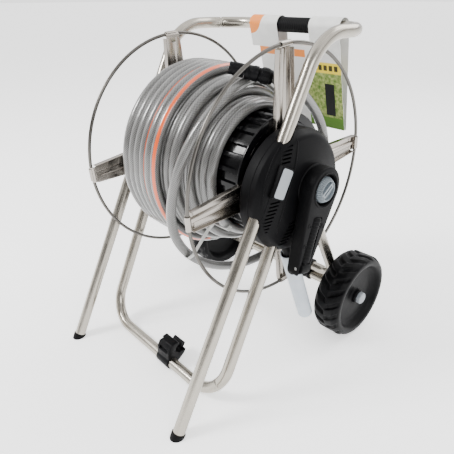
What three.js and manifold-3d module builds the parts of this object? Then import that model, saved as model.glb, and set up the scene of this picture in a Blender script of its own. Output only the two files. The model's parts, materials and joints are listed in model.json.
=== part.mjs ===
// Garden hose reel cart: a stainless tube cart that carries a wire-flanged reel of garden hose on two
// wheels and two feet. One bent tube makes both front legs and the handle, a second makes the front
// loop, a third carries the axle, and a clamshell housing on each side grips all three and holds the
// reel's shaft. The crank sits on the near (+X) end of the shaft.
import * as THREE from "three";
import { mergeVertices } from "three/addons/utils/BufferGeometryUtils.js";
import Module from "manifold-3d";

const wasm = await Module();
wasm.setup();

// Driving dimensions in millimetres. +X is the crank side, -Y the front and +Z up. Everything is
// placed round the reel axis, which runs along X through (Y, Z) = (0, 0); the last lines lift the
// cart so that the floor is Z = 0.
const REEL_HEIGHT = 388;
const FLOOR = -REEL_HEIGHT;
const GAP = 0.3;

const TUBE_R = 11;
const TUBE_WALL = 1.3;
const TUBE_FIT = TUBE_R + 0.4;

const LEG_X = 177;
const LEG_SLOPE = 0.51;
const LEG_Y = -91.6;
const LEG_END_Z = FLOOR + 7.5;
const HANDLE_Y = 170;
const HANDLE_Z = 233;
const KNEE_R = 90;
const HANDLE_CORNER_R = 70;
const GRIP_R = 14;
const GRIP_HALF = 85;

const LOOP_X = 178;
const LOOP_SLOPE = 0.47;
const LOOP_Y = -22;
const LOOP_TOP_Z = -20;
const LOOP_BAR_Z = FLOOR + 14;
const LOOP_CORNER_R = 65;

const AXLE_LOOP_X = 165;
const AXLE_LOOP_TOP = [42, -45];
const AXLE_LOOP_BAR = [170, -274];
const AXLE_LOOP_CORNER_R = 40;

const WHEEL_R = 92.5;
const WHEEL_Y = 167;
const WHEEL_Z = FLOOR + WHEEL_R;
const WHEEL_INNER_X = 176;
const WHEEL_OUTER_X = 238;
const AXLE_R = 9.5;
const AXLE_HALF = 238;
const SADDLE_X = 95;

const RING_R = 220;
const RING_WIRE = 3;
const RING_X = 144;
const SPOKE_PHASE = THREE.MathUtils.degToRad(4.5);
const SPOKE_COUNT = 4;
const SPOKE_INNER_R = 46;
const SPOKE_OUTER_R = 213;
const SPOKE_INNER_WIDTH = 55;
const SPOKE_OUTER_WIDTH = 34;
const SPOKE_BASE_X = 137;

const SHAFT_R = 12;
const DRUM_R = 110;
const DRUM_HALF = 133;
const DRUM_RIBS = 28;

const HOSE_R = 8.75;

const HOUSING = [-14, -12];
const HOUSING_R = 107;
const HOUSING_WALL = 3;
const HOUSING_BACK_X = 150;
const HOUSING_SPLIT_X = 171.5;
const HOUSING_SCREWS = [
  [62, 32],
  [-12, 76],
  [14, -92],
];
const PLATE = [-77, 24];
const PLATE_X = 203.6;
const BUSH_R = 17;

const CRANK_LEAN = THREE.MathUtils.degToRad(17.5);
const CRANK_BACK_X = 208;
const CRANK_FACE_X = 232;
const CRANK_LENGTH = 140;
const CRANK_HEAD_R = 39;
const CRANK_TAIL_R = 18;
const PIVOT_X = 226;
const CRANK_GRIP_R = 11;

const SLEEVE_TOP = [180, -23, -129.4];
const SLEEVE_END = [180, 47, -300];
const SLEEVE_R = 15;

const NOZZLE_TIP = [58, -54, 180];
const NOZZLE_DIRECTION = new THREE.Vector3(0.7, 0.68, -0.22).normalize();

const FINISHES = {
  steel: { color: 0xb9b7b0, roughness: 0.28, metalness: 1 },
  wire: { color: 0x9c9a94, roughness: 0.35, metalness: 1 },
  housing: { color: 0x2a2a2c, roughness: 0.5, metalness: 0 },
  drum: { color: 0x1c1c1e, roughness: 0.3, metalness: 0 },
  plate: { color: 0xa0a3a8, roughness: 0.6, metalness: 0 },
  knob: { color: 0xa5afb9, roughness: 0.45, metalness: 0 },
  tyre: { color: 0x19191b, roughness: 0.6, metalness: 0 },
  rubber: { color: 0x161617, roughness: 0.8, metalness: 0 },
  hose: { color: 0x969694, roughness: 0.35, metalness: 0 },
  sleeve: { color: 0xa5afb9, roughness: 0.4, metalness: 0 },
  card: { color: 0xd8d8d4, roughness: 0.7, metalness: 0 },
  strap: { color: 0xb4b4b0, roughness: 0.5, metalness: 0 },
};

// ---- helpers ----

const vec = (x, y, z) => new THREE.Vector3(x, y, z);

function facingOut(geometry) {
  const bare = geometry.clone();
  bare.deleteAttribute("normal");
  bare.deleteAttribute("uv");
  const merged = mergeVertices(bare, 1e-4);
  const p = merged.attributes.position;
  const index = merged.index.array;
  const [a, b, c] = [vec(), vec(), vec()];
  let volume = 0;
  for (let i = 0; i < index.length; i += 3) {
    a.fromBufferAttribute(p, index[i]);
    b.fromBufferAttribute(p, index[i + 1]);
    c.fromBufferAttribute(p, index[i + 2]);
    volume += a.dot(b.cross(c));
  }
  if (volume < 0) {
    for (let i = 0; i < index.length; i += 3) {
      [index[i + 1], index[i + 2]] = [index[i + 2], index[i + 1]];
    }
  }
  return merged;
}

function toSolid(geometry) {
  const merged = facingOut(geometry);
  return new wasm.Manifold(
    new wasm.Mesh({
      numProp: 3,
      vertProperties: merged.attributes.position.array,
      triVerts: new Uint32Array(merged.index.array),
    }),
  );
}

function toGeometry(solid) {
  const mesh = solid.getMesh();
  const geometry = new THREE.BufferGeometry();
  geometry.setAttribute("position", new THREE.BufferAttribute(mesh.vertProperties, 3));
  geometry.setIndex(new THREE.BufferAttribute(mesh.triVerts, 1));
  geometry.computeVertexNormals();
  return geometry;
}

// The first shape joined with `more` and then cut by `tools`.
function shape(first, more = [], tools = []) {
  let solid = toSolid(first);
  for (const g of more) solid = solid.add(toSolid(g));
  for (const g of tools) solid = solid.subtract(toSolid(g));
  return toGeometry(solid);
}

// A closed profile of [radius, x] points spun about the X axis, or about a line parallel to it.
function spunX(profile, segments = 24, [y, z] = [0, 0]) {
  const points = profile.map(([r, x]) => new THREE.Vector2(r, x));
  if (profile[0][0] > 0) points.push(points[0].clone());
  const spun = new THREE.LatheGeometry(points, segments);
  return facingOut(spun.rotateZ(-Math.PI / 2).translate(0, y, z));
}

const discX = (r, x0, x1, centre, segments) =>
  spunX([[0, x0], [r, x0], [r, x1], [0, x1]], segments, centre);

// A straight round bar between two points.
function rod(from, to, radius, sides = 20) {
  const axis = to.clone().sub(from);
  const bar = new THREE.CylinderGeometry(radius, radius, axis.length(), sides);
  const turn = new THREE.Quaternion().setFromUnitVectors(vec(0, 1, 0), axis.clone().normalize());
  const middle = from.clone().add(to).multiplyScalar(0.5);
  return bar.applyQuaternion(turn).translate(middle.x, middle.y, middle.z);
}

function boxAt(size, centre) {
  return new THREE.BoxGeometry(...size).translate(...centre);
}

function polygon(radius, sides) {
  return Array.from({ length: sides }, (_, i) => {
    const a = (i / sides) * 2 * Math.PI;
    return new THREE.Vector2(radius * Math.cos(a), radius * Math.sin(a));
  });
}

// A path of straight runs and round bends. It is sampled only where it bends.
class BentPath extends THREE.Curve {
  constructor(corners, radii, arcSteps) {
    super();
    this.stops = [];
    const unit = (a, b) => b.clone().sub(a).normalize();
    this.stops.push({ at: corners[0], along: unit(corners[0], corners[1]) });
    for (let i = 1; i < corners.length - 1; i++) {
      const before = unit(corners[i - 1], corners[i]);
      const after = unit(corners[i], corners[i + 1]);
      const turn = before.angleTo(after);
      const radius = radii[i - 1];
      const start = corners[i].clone().addScaledVector(before, -radius * Math.tan(turn / 2));
      const side = after.clone().addScaledVector(before, -before.dot(after)).normalize();
      for (let k = 0; k <= arcSteps; k++) {
        const a = (turn * k) / arcSteps;
        const at = start
          .clone()
          .addScaledVector(before, radius * Math.sin(a))
          .addScaledVector(side, radius * (1 - Math.cos(a)));
        const along = before.clone().multiplyScalar(Math.cos(a)).addScaledVector(side, Math.sin(a));
        this.stops.push({ at, along });
      }
    }
    const last = corners.length - 1;
    this.stops.push({ at: corners[last], along: unit(corners[last - 1], corners[last]) });
    this.steps = this.stops.length - 1;
  }
  getPoint(t) {
    return this.stops[Math.round(t * this.steps)].at.clone();
  }
  getPointAt(t) {
    return this.getPoint(t);
  }
  getTangentAt(t) {
    return this.stops[Math.round(t * this.steps)].along.clone();
  }
}

function bentTube(corners, radii) {
  const section = new THREE.Shape(polygon(TUBE_R, 12));
  section.holes.push(new THREE.Path(polygon(TUBE_R - TUBE_WALL, 6)));
  const path = new BentPath(corners, radii, 4);
  return new THREE.ExtrudeGeometry(section, { steps: path.steps, extrudePath: path });
}

// An outline in the YZ plane, pulled from x0 to x1. A shape's own x and y become Y and Z.
function slabX(outline, x0, x1) {
  const slab = new THREE.ExtrudeGeometry(outline, { depth: x1 - x0, bevelEnabled: false, curveSegments: 8 });
  return slab.rotateX(Math.PI / 2).rotateZ(Math.PI / 2).translate(x0, 0, 0);
}

const cart = new THREE.Group();
const farSide = new THREE.Group();
farSide.scale.x = -1;
cart.add(farSide);

function add(name, geometry, finish, group = cart) {
  const mesh = new THREE.Mesh(geometry, new THREE.MeshStandardMaterial(FINISHES[finish]));
  mesh.name = name;
  group.add(mesh);
  return mesh;
}

// The same piece on the near side and, mirrored, on the far side.
function addPair(name, geometry, finish) {
  add(`${name}_near`, geometry, finish);
  add(`${name}_far`, geometry.clone(), finish, farSide);
}

// ---- frame tubes ----

const legAt = (z) => vec(LEG_X, LEG_Y + LEG_SLOPE * z, z);
const loopAt = (z) => vec(LOOP_X, LOOP_Y + LOOP_SLOPE * z, z);
const axleLoopTop = vec(AXLE_LOOP_X, ...AXLE_LOOP_TOP);
const axleLoopCorner = vec(AXLE_LOOP_X, ...AXLE_LOOP_BAR);
const mirrored = (p) => vec(-p.x, p.y, p.z);

// Half of a path on the near side, carried on through its mirror image.
const bothSides = (half) => [...half, ...half.map(mirrored).reverse()];

const legEnd = legAt(LEG_END_Z);
const handleCorner = vec(LEG_X, HANDLE_Y, HANDLE_Z);
add(
  "main_frame_tube",
  bentTube(bothSides([legEnd, legAt(HANDLE_Z), handleCorner]), [
    KNEE_R,
    HANDLE_CORNER_R,
    HANDLE_CORNER_R,
    KNEE_R,
  ]),
  "steel",
);
add(
  "front_loop_tube",
  bentTube(bothSides([loopAt(LOOP_TOP_Z), loopAt(LOOP_BAR_Z)]), [LOOP_CORNER_R, LOOP_CORNER_R]),
  "steel",
);
add(
  "axle_loop_tube",
  bentTube(bothSides([axleLoopTop, axleLoopCorner]), [AXLE_LOOP_CORNER_R, AXLE_LOOP_CORNER_R]),
  "steel",
);

function handleGrip() {
  const centre = [HANDLE_Y, HANDLE_Z];
  const [inner, outer] = [TUBE_FIT, GRIP_R];
  const profile = [
    [inner, -GRIP_HALF],
    [outer - 1, -GRIP_HALF],
    [outer, 1 - GRIP_HALF],
    [outer, GRIP_HALF - 1],
    [outer - 1, GRIP_HALF],
    [inner, GRIP_HALF],
  ];
  return spunX(profile, 16, centre);
}
add("handle_grip", handleGrip(), "rubber");

// A rubber plug in each leg's end, with a rim cut off level at the floor.
function footCap() {
  const along = vec(0, LEG_SLOPE, 1).normalize();
  const at = (d) => legEnd.clone().addScaledVector(along, d);
  const rim = rod(at(-16), at(-GAP), TUBE_R + 1.6, 24);
  const plug = rod(at(-1), at(14), 8, 16);
  const below = boxAt([60, 60, 60], [LEG_X, legEnd.y, FLOOR - 30]);
  return shape(rim, [plug], [below]);
}
addPair("foot_cap", footCap(), "rubber");

// A snap clip on the front loop's bar. Its open jaws point up and back.
function accessoryClip() {
  const [x0, x1] = [6, 44];
  const bar = [loopAt(LOOP_BAR_Z).y, LOOP_BAR_Z];
  const collar = discX(13.4, x0, x1, bar, 24);
  const block = slabX(
    new THREE.Shape([
      new THREE.Vector2(bar[0] - 11, bar[1] + 4),
      new THREE.Vector2(bar[0] + 12, bar[1] - 2),
      new THREE.Vector2(bar[0] + 40, bar[1] + 14),
      new THREE.Vector2(bar[0] + 34, bar[1] + 30),
      new THREE.Vector2(bar[0] + 20, bar[1] + 42),
      new THREE.Vector2(bar[0] - 4, bar[1] + 38),
    ]),
    x0,
    x1,
  );
  const bore = discX(TUBE_FIT, x0 - 5, x1 + 5, bar, 24);
  const seat = discX(9, x0 - 5, x1 + 5, [bar[0] + 17, bar[1] + 25], 20);
  const mouth = boxAt([60, 13, 34], [25, bar[0] + 29, bar[1] + 39]);
  return shape(collar, [block], [bore, seat, mouth]);
}
add("accessory_clip", accessoryClip(), "housing");

// ---- axle and wheels ----

const axleLine = [WHEEL_Y, WHEEL_Z];
add("axle", discX(AXLE_R, -AXLE_HALF, AXLE_HALF, axleLine, 24), "steel");

// A saddle clip that hangs the axle under the axle loop's bar.
function axleSaddle() {
  const [x0, x1] = [SADDLE_X - 11, SADDLE_X + 11];
  const upper = discX(TUBE_R + 4, x0, x1, AXLE_LOOP_BAR, 16);
  const lower = discX(AXLE_R + 4.5, x0, x1, axleLine, 16);
  const tools = [
    discX(TUBE_FIT, x0 - 2, x1 + 2, AXLE_LOOP_BAR, 16),
    discX(AXLE_R + 0.4, x0 - 2, x1 + 2, axleLine, 16),
  ];
  return shape(upper, [lower], tools);
}
addPair("axle_saddle", axleSaddle(), "housing");

const WHEEL_PROFILE = [
  [AXLE_R + GAP, 178],
  [AXLE_R + GAP, 231.5],
  [20, 231.5],
  [20, 221],
  [64, 223],
  [76, WHEEL_OUTER_X],
  [86, WHEEL_OUTER_X],
  [WHEEL_R, WHEEL_OUTER_X - 12],
  [WHEEL_R, WHEEL_INNER_X + 12],
  [86, WHEEL_INNER_X],
  [76, WHEEL_INNER_X],
  [66, 201],
  [20, 205],
  [20, 178],
];
addPair("wheel", spunX(WHEEL_PROFILE, 32, axleLine), "tyre");

const CAP_PROFILE = [
  [0, AXLE_HALF + GAP],
  [AXLE_R + GAP, AXLE_HALF + GAP],
  [AXLE_R + GAP, 232],
  [12.5, 232],
  [12.5, 240.5],
  [11, 242],
  [0, 242],
];
addPair("wheel_cap", spunX(CAP_PROFILE, 24, axleLine), "plate");

// ---- side housings ----

const CUTTER_R = TUBE_R + 1;
const onAxleLoop = (share) => axleLoopTop.clone().lerp(axleLoopCorner, share);
const tubeCutters = () => [
  rod(legAt(-160), legAt(160), CUTTER_R, 10),
  rod(loopAt(-180), loopAt(LOOP_TOP_Z + 3), CUTTER_R, 10),
  rod(onAxleLoop(-0.02), onAxleLoop(0.6), CUTTER_R, 10),
];
const sleeveTop = vec(...SLEEVE_TOP);
const sleeveEnd = vec(...SLEEVE_END);
const sleeveAlong = sleeveEnd.clone().sub(sleeveTop).normalize();
const onSleeve = (d) => sleeveTop.clone().addScaledVector(sleeveAlong, d);
const inletCutter = () => rod(onSleeve(-60), onSleeve(-2), 10.4, 10);

// The back half: a flat dish that faces the reel, with pads for the screws and a boss for the bush.
function housingBack() {
  const [back, split, r] = [HOUSING_BACK_X, HOUSING_SPLIT_X, HOUSING_R];
  const floorX = back + 2.5;
  const dish = spunX(
    [
      [0, back],
      [r - 2, back],
      [r, back + 2],
      [r, split],
      [r - HOUSING_WALL, split],
      [r - HOUSING_WALL, floorX],
      [0, floorX],
    ],
    24,
    HOUSING,
  );
  const boss = discX(BUSH_R + 6, back + 1, 166, [0, 0], 24);
  const pads = HOUSING_SCREWS.map((at) => discX(7, back + 1, back + 8, at, 8));
  const tools = [
    discX(BUSH_R + GAP, back - 5, 180, [0, 0], 20),
    ...HOUSING_SCREWS.map((at) => discX(2.4, back - 5, back + 12, at, 8)),
    ...HOUSING_SCREWS.map((at) => discX(4.6, back - 5, back + 4.6, at, 8)),
    ...tubeCutters(),
    inletCutter(),
  ];
  return shape(dish, [boss, ...pads], tools);
}
addPair("housing_back", housingBack(), "housing");

// The outer half: a domed cover with a raised band over the leg and a hub boss on the reel axis.
function housingCover(isCrankSide) {
  const [split, r, wall] = [HOUSING_SPLIT_X + GAP, HOUSING_R, HOUSING_WALL];
  const dome = spunX(
    [
      [r, split],
      [r, 181],
      [r - 9, 194],
      [60, 202],
      [0, 204.5],
      [0, 201.5],
      [59, 199],
      [r - 11, 191.5],
      [r - wall, 180],
      [r - wall, split],
    ],
    24,
    HOUSING,
  );
  const lean = Math.atan(LEG_SLOPE);
  const band = boxAt([14.5, 34, 104], [0, 0, 0])
    .rotateX(-lean)
    .translate(197.25, ...PLATE);
  const hub = discX(38, 199, 206.5, [0, 0], 24);
  const posts = HOUSING_SCREWS.map((at) => discX(5.5, split, 198, at, 8));
  const recess = boxAt([10, 26.6, 48.6], [0, 0, 0])
    .rotateX(-lean)
    .translate(PLATE_X + 4.8, ...PLATE);
  const tools = [
    recess,
    ...HOUSING_SCREWS.map((at) => discX(2.4, split - 4, 184, at, 8)),
    ...tubeCutters(),
    inletCutter(),
  ];
  tools.push(discX(SHAFT_R + 2, 150, isCrankSide ? 220 : 204, [0, 0], 20));
  return shape(dome, [band, hub, ...posts], tools);
}
add("housing_cover_near", housingCover(true), "housing");
add("housing_cover_far", housingCover(false), "housing", farSide);

const coverPlate = boxAt([1.8, 26, 48], [0, 0, 0])
  .rotateX(-Math.atan(LEG_SLOPE))
  .translate(PLATE_X + 1.1, ...PLATE);
addPair("cover_plate", coverPlate, "plate");

function housingScrew(at) {
  const head = HOUSING_BACK_X + 0.3;
  return spunX(
    [[0, head], [4, head], [4, head + 3.8], [1.9, head + 3.8], [1.9, 182], [0, 182]],
    8,
    at,
  );
}
HOUSING_SCREWS.forEach((at, i) => addPair(`housing_screw_${i + 1}`, housingScrew(at), "steel"));

const BUSH_PROFILE = [
  [SHAFT_R + GAP, 149.6],
  [BUSH_R, 149.6],
  [BUSH_R, 167],
  [SHAFT_R + GAP, 167],
];
addPair("shaft_bush", spunX(BUSH_PROFILE, 20), "knob");

// ---- water inlet ----

function inletConnector() {
  const stub = rod(onSleeve(-34), onSleeve(26), 9.5, 20);
  const collar = rod(onSleeve(2), onSleeve(14), 13, 20);
  const bore = rod(onSleeve(-40), onSleeve(30), 6, 16);
  return shape(stub, [collar], [bore]);
}
add("inlet_connector", inletConnector(), "housing");

const sleeveLength = sleeveEnd.distanceTo(sleeveTop);
const sleeveWall = rod(onSleeve(0), onSleeve(sleeveLength), SLEEVE_R, 20);
const sleeveBore = rod(onSleeve(-1), onSleeve(sleeveLength + 1), SLEEVE_R - 1.6, 20);
add("inlet_sleeve", shape(sleeveWall, [], [sleeveBore]), "sleeve");

// ---- hang tag: a folded card that hangs over the grip and leans back from the wound hose ----

function cardOutline(inset) {
  const outline = new THREE.Shape();
  const arch = GRIP_R + 2.8 - inset;
  outline.moveTo(HANDLE_Y - arch, HANDLE_Z);
  outline.lineTo(209 + inset, 38 + inset);
  outline.lineTo(216 - inset, 38 + inset);
  outline.lineTo(HANDLE_Y + arch, HANDLE_Z);
  outline.absarc(HANDLE_Y, HANDLE_Z, arch, 0, Math.PI, false);
  return outline;
}

function hangTag() {
  const [x0, x1] = [-98, 122];
  const skin = cardOutline(0);
  skin.holes.push(new THREE.Path(cardOutline(1.6).getPoints(8).reverse()));
  const window = boxAt([80, 100, 100], [15, HANDLE_Y, 248]);
  const notch = boxAt([20, 200, 200], [x0, 190, 90]);
  return shape(slabX(skin, x0, x1), [], [window, notch]);
}
add("hang_tag", hangTag(), "card");

// ---- reel ----

const SHAFT_PROFILE = [
  [8, -198],
  [SHAFT_R, -198],
  [SHAFT_R, 221],
  [8, 221],
];
add("reel_shaft", spunX(SHAFT_PROFILE, 20), "drum");

function drumCore() {
  const outline = [];
  for (let i = 0; i < DRUM_RIBS; i++) {
    const step = (2 * Math.PI) / DRUM_RIBS;
    for (const [share, r] of [[0, DRUM_R - 5], [0.62, DRUM_R - 5], [0.68, DRUM_R], [0.94, DRUM_R]]) {
      const a = (i + share) * step;
      outline.push(new THREE.Vector2(r * Math.cos(a), r * Math.sin(a)));
    }
  }
  const section = new THREE.Shape(outline);
  section.holes.push(new THREE.Path(polygon(DRUM_R - 9, 30)));
  return slabX(section, -DRUM_HALF, DRUM_HALF);
}
add("drum_core", drumCore(), "drum");

const DRUM_END_PROFILE = [
  [SHAFT_R + GAP, 112],
  [26, 112],
  [30, DRUM_HALF + GAP],
  [DRUM_R + 1.5, DRUM_HALF + GAP],
  [DRUM_R + 1.5, SPOKE_BASE_X - GAP],
  [SHAFT_R + GAP, SPOKE_BASE_X - GAP],
];
addPair("drum_end", spunX(DRUM_END_PROFILE, 32), "drum");

const ringAt = (wire) =>
  new THREE.TorusGeometry(RING_R, wire, 6, 40).rotateY(Math.PI / 2).translate(RING_X, 0, 0);
addPair("flange_ring", ringAt(RING_WIRE), "wire");

// A pressed channel with folded edges and a middle rib. It tapers to a clip that wraps the ring.
function spoke(turn) {
  const [x, w, t, fold] = [SPOKE_BASE_X, SPOKE_INNER_WIDTH / 2, 1.6, 10];
  const section = new THREE.Shape(
    [
      [x, -w],
      [x + fold, -w],
      [x + fold, t - w],
      [x + t, t - w],
      [x + t, -7],
      [x + 5, -3],
      [x + 5, 3],
      [x + t, 7],
      [x + t, w - t],
      [x + fold, w - t],
      [x + fold, w],
      [x, w],
    ].map(([a, b]) => new THREE.Vector2(a, b)),
  );
  const length = SPOKE_OUTER_R - SPOKE_INNER_R;
  const channel = new THREE.ExtrudeGeometry(section, { depth: length, bevelEnabled: false });
  channel.translate(0, 0, SPOKE_INNER_R);
  const p = channel.attributes.position;
  for (let i = 0; i < p.count; i++) {
    const share = (p.getZ(i) - SPOKE_INNER_R) / length;
    p.setY(i, p.getY(i) * THREE.MathUtils.lerp(1, SPOKE_OUTER_WIDTH / SPOKE_INNER_WIDTH, share));
  }
  const clip = boxAt([11, 26, 16], [x + 6.5, 0, RING_R - 2]);
  return shape(channel.rotateX(turn), [clip.rotateX(turn)], [ringAt(RING_WIRE + 0.5)]);
}
for (let i = 0; i < SPOKE_COUNT; i++) {
  const turn = SPOKE_PHASE + (i * 2 * Math.PI) / SPOKE_COUNT;
  addPair(`spoke_${i + 1}`, spoke(turn), "steel");
}

// ---- wound hose and what is on it ----

// The turns' outer shape: four layers on the far half, then steps down to one towards the near flange.
const COIL_PROFILE = [
  [113, -132],
  [160, -132],
  [178, -106],
  [178, 0],
  [161, 4],
  [161, 30],
  [144, 34],
  [144, 48],
  [128, 52],
  [128, 92],
  [113, 92],
];
add("hose_coil", spunX(COIL_PROFILE, 24), "hose");

const tailRoute = new THREE.CatmullRomCurve3([
  vec(121, 84, 114.6),
  vec(124, 66, 129),
  vec(125, 48, 143),
  vec(123.5, 28, 153.5),
]);
const onNozzle = (d) => vec(...NOZZLE_TIP).addScaledVector(NOZZLE_DIRECTION, d);
tailRoute.points.push(onNozzle(79), onNozzle(74.4));
add(
  "hose_tail",
  new THREE.ExtrudeGeometry(new THREE.Shape(polygon(HOSE_R, 8)), { steps: 8, extrudePath: tailRoute }),
  "hose",
);
const nozzleRod = (from, to, radius) => rod(onNozzle(from), onNozzle(to), radius, 16);
add("hose_connector", shape(nozzleRod(50, 73, 11.5), [nozzleRod(54, 68, 13)]), "housing");
add("nozzle_body", shape(nozzleRod(26.3, 49.7, 12), [nozzleRod(42, 49.7, 13)]), "housing");
add("nozzle_barrel", shape(nozzleRod(4, 26, 13), [nozzleRod(0, 5, 10.5)], [nozzleRod(-2, 8, 4)]), "housing");

// A flat tie that lies on the near-side turns and loops out round the loose last turn.
function coilStrap() {
  const run = [
    [93, 121],
    [92.4, 129],
    [54, 129.4],
    [50, 146],
    [50, 200],
    [45, 209.5],
    [36, 210],
  ];
  const out = [
    [36, 211.4],
    [46, 211],
    [51.4, 200.4],
    [51.4, 146.4],
    [55, 130.8],
    [93.8, 130.4],
    [94.4, 121],
  ];
  const outline = new THREE.Shape([...run, ...out].map(([x, r]) => new THREE.Vector2(x, r)));
  const strap = new THREE.ExtrudeGeometry(outline, { depth: 7, bevelEnabled: false });
  return strap.translate(0, 0, -3.5).rotateX(THREE.MathUtils.degToRad(226));
}
add("coil_strap", coilStrap(), "strap");

// ---- crank: built hanging straight down, then leaned forward ----

const crank = new THREE.Group();
crank.rotation.x = -CRANK_LEAN;
cart.add(crank);

function crankArm() {
  const [back, face] = [CRANK_BACK_X, CRANK_FACE_X];
  const tangent = Math.asin((CRANK_HEAD_R - CRANK_TAIL_R) / CRANK_LENGTH);
  const outline = new THREE.Shape();
  outline.absarc(0, 0, CRANK_HEAD_R, -tangent, Math.PI + tangent, false);
  outline.absarc(0, -CRANK_LENGTH, CRANK_TAIL_R, Math.PI + tangent, 2 * Math.PI - tangent, false);
  const blank = slabX(outline, back, face);
  const tools = [
    discX(SHAFT_R + GAP, back - 5, 221.5, [0, 0], 20),
    discX(28, 223.5, face + 5, [0, 0], 20),
    discX(6.4, back, face + 5, [0, 0], 20),
    boxAt([40, 26, 160], [213.5 + 20, 0, -124]),
    rod(vec(PIVOT_X, -30, -CRANK_LENGTH), vec(PIVOT_X, 30, -CRANK_LENGTH), 3.3, 16),
  ];
  return shape(blank, [], tools);
}
add("crank_arm", crankArm(), "housing", crank);

function hubKnob() {
  const teeth = 30;
  const rim = Array.from({ length: 2 * teeth }, (_, i) => {
    const a = (i * Math.PI) / teeth;
    const r = i % 2 ? 21 : 20.2;
    return new THREE.Vector2(r * Math.cos(a), r * Math.sin(a));
  });
  const body = slabX(new THREE.Shape(rim), 224, 237);
  const stem = discX(6, 222, 226, [0, 0], 16);
  const slot = boxAt([8, 8, 26], [236, 0, 0]).rotateX(-0.6);
  return shape(body, [stem], [slot]);
}
add("crank_hub_knob", hubKnob(), "knob", crank);

add(
  "grip_pivot_pin",
  rod(vec(PIVOT_X, -16.5, -CRANK_LENGTH), vec(PIVOT_X, 16.5, -CRANK_LENGTH), 3, 16),
  "steel",
  crank,
);

function gripYoke() {
  const eye = rod(vec(PIVOT_X, -12, -CRANK_LENGTH), vec(PIVOT_X, 12, -CRANK_LENGTH), 10.5, 24);
  const spindle = rod(vec(PIVOT_X, 0, -CRANK_LENGTH), vec(PIVOT_X, 0, -48), 5, 16);
  const hole = rod(vec(PIVOT_X, -15, -CRANK_LENGTH), vec(PIVOT_X, 15, -CRANK_LENGTH), 3.4, 16);
  return shape(eye, [spindle], [hole]);
}
add("grip_yoke", gripYoke(), "housing", crank);

function crankGrip() {
  const [low, high] = [12 - CRANK_LENGTH, -46.5];
  const body = new THREE.LatheGeometry(
    [
      [5.4, low],
      [9.5, low],
      [CRANK_GRIP_R, low + 3],
      [CRANK_GRIP_R - 1, (low + high) / 2],
      [CRANK_GRIP_R, high - 4],
      [8, high + 0.5],
      [0, high + 0.8],
      [0, high - 1.2],
      [5.4, high - 1.2],
      [5.4, low],
    ].map(([r, z]) => new THREE.Vector2(r, z)),
    16,
  );
  return body.rotateX(Math.PI / 2).translate(PIVOT_X, 0, 0);
}
add("crank_grip", crankGrip(), "rubber", crank);

// ---- the part's own frame: origin on the floor, below the middle of the cart without its hose ----

const LOOSE = ["hose_coil", "hose_tail", "hose_connector", "nozzle_body", "nozzle_barrel"];
cart.updateMatrixWorld(true);
const bounds = new THREE.Box3();
cart.traverse((o) => {
  if (o.isMesh && !LOOSE.includes(o.name)) bounds.expandByObject(o, true);
});
const middle = bounds.getCenter(new THREE.Vector3());
cart.position.set(-middle.x, -middle.y, -bounds.min.z);

const group = new THREE.Group();
group.add(cart);

export default group;
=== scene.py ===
import json

import bmesh
import bpy
import numpy as np
from mathutils import Matrix, Vector


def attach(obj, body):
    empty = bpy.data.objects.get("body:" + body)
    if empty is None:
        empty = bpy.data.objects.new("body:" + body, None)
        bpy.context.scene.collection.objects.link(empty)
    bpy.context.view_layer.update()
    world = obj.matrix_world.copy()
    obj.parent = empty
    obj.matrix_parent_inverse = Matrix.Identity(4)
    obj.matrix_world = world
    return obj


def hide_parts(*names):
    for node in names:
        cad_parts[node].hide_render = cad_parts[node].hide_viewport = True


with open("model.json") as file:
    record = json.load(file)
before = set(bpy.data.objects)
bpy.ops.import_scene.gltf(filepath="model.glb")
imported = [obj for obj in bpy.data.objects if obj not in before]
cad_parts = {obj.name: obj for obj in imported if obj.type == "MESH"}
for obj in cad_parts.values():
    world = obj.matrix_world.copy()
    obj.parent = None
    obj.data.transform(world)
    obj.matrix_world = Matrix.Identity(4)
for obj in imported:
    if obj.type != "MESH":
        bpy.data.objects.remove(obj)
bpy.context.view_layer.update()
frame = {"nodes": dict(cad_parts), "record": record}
joints = {joint["name"]: joint for joint in frame["record"]["behaviour"]["joints"]}
nodes = frame["nodes"]
reelCentre = np.array(joints["reel_spin"]["pos_m"])
mm = 0.001
print("frame loaded:", len(nodes), "nodes")

# Shapes are worked out in millimetres from the middle of the reel's axis.
# buildPiece turns them into metres in the frame.


# Rows of vectors scaled to length 1
def unit(v):
    v = np.asarray(v, float)
    return v / np.linalg.norm(v, axis=-1, keepdims=True)


# 0 below the span, 1 above it, and 3t^2 - 2t^3 between
def smooth(value, low=0.0, high=1.0):
    t = np.clip((value - low) / (high - low), 0, 1)
    return t * t * (3 - 2 * t)


# Straight runs joined by round bends: a bend of turn A and radius R starts R tan(A/2) before its corner
def bentPath(corners, radii, arcSteps=10, closed=False):
    corners = [np.array(c, float) for c in corners]
    if closed:
        start = (corners[0] + corners[-1]) / 2
        corners = [start] + corners + [start]
    radii = np.broadcast_to(radii, len(corners) - 2)
    run = [corners[0][None]]
    for before, corner, after, radius in zip(corners, corners[1:], corners[2:], radii):
        arriving, leaving = unit(corner - before), unit(after - corner)
        turn = np.arccos(np.clip(arriving @ leaving, -1, 1))
        if turn < 1e-3 or radius == 0:
            run.append(corner[None])
            continue
        room = 0.49 * min(np.linalg.norm(corner - before), np.linalg.norm(after - corner))
        reach = min(radius * np.tan(turn / 2), room)
        radius = reach / np.tan(turn / 2)
        inward = unit(leaving - (arriving @ leaving) * arriving)
        a = np.linspace(0, turn, arcSteps)[:, None]
        run.append(corner - arriving * reach + radius * (arriving * np.sin(a) + inward * (1 - np.cos(a))))
    if not closed:
        run.append(corners[-1][None])
    return np.concatenate(run)


def lengthsAlong(path):
    steps = np.linalg.norm(np.diff(path, axis=0), axis=1)
    return np.concatenate([[0], np.cumsum(steps)])


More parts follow.
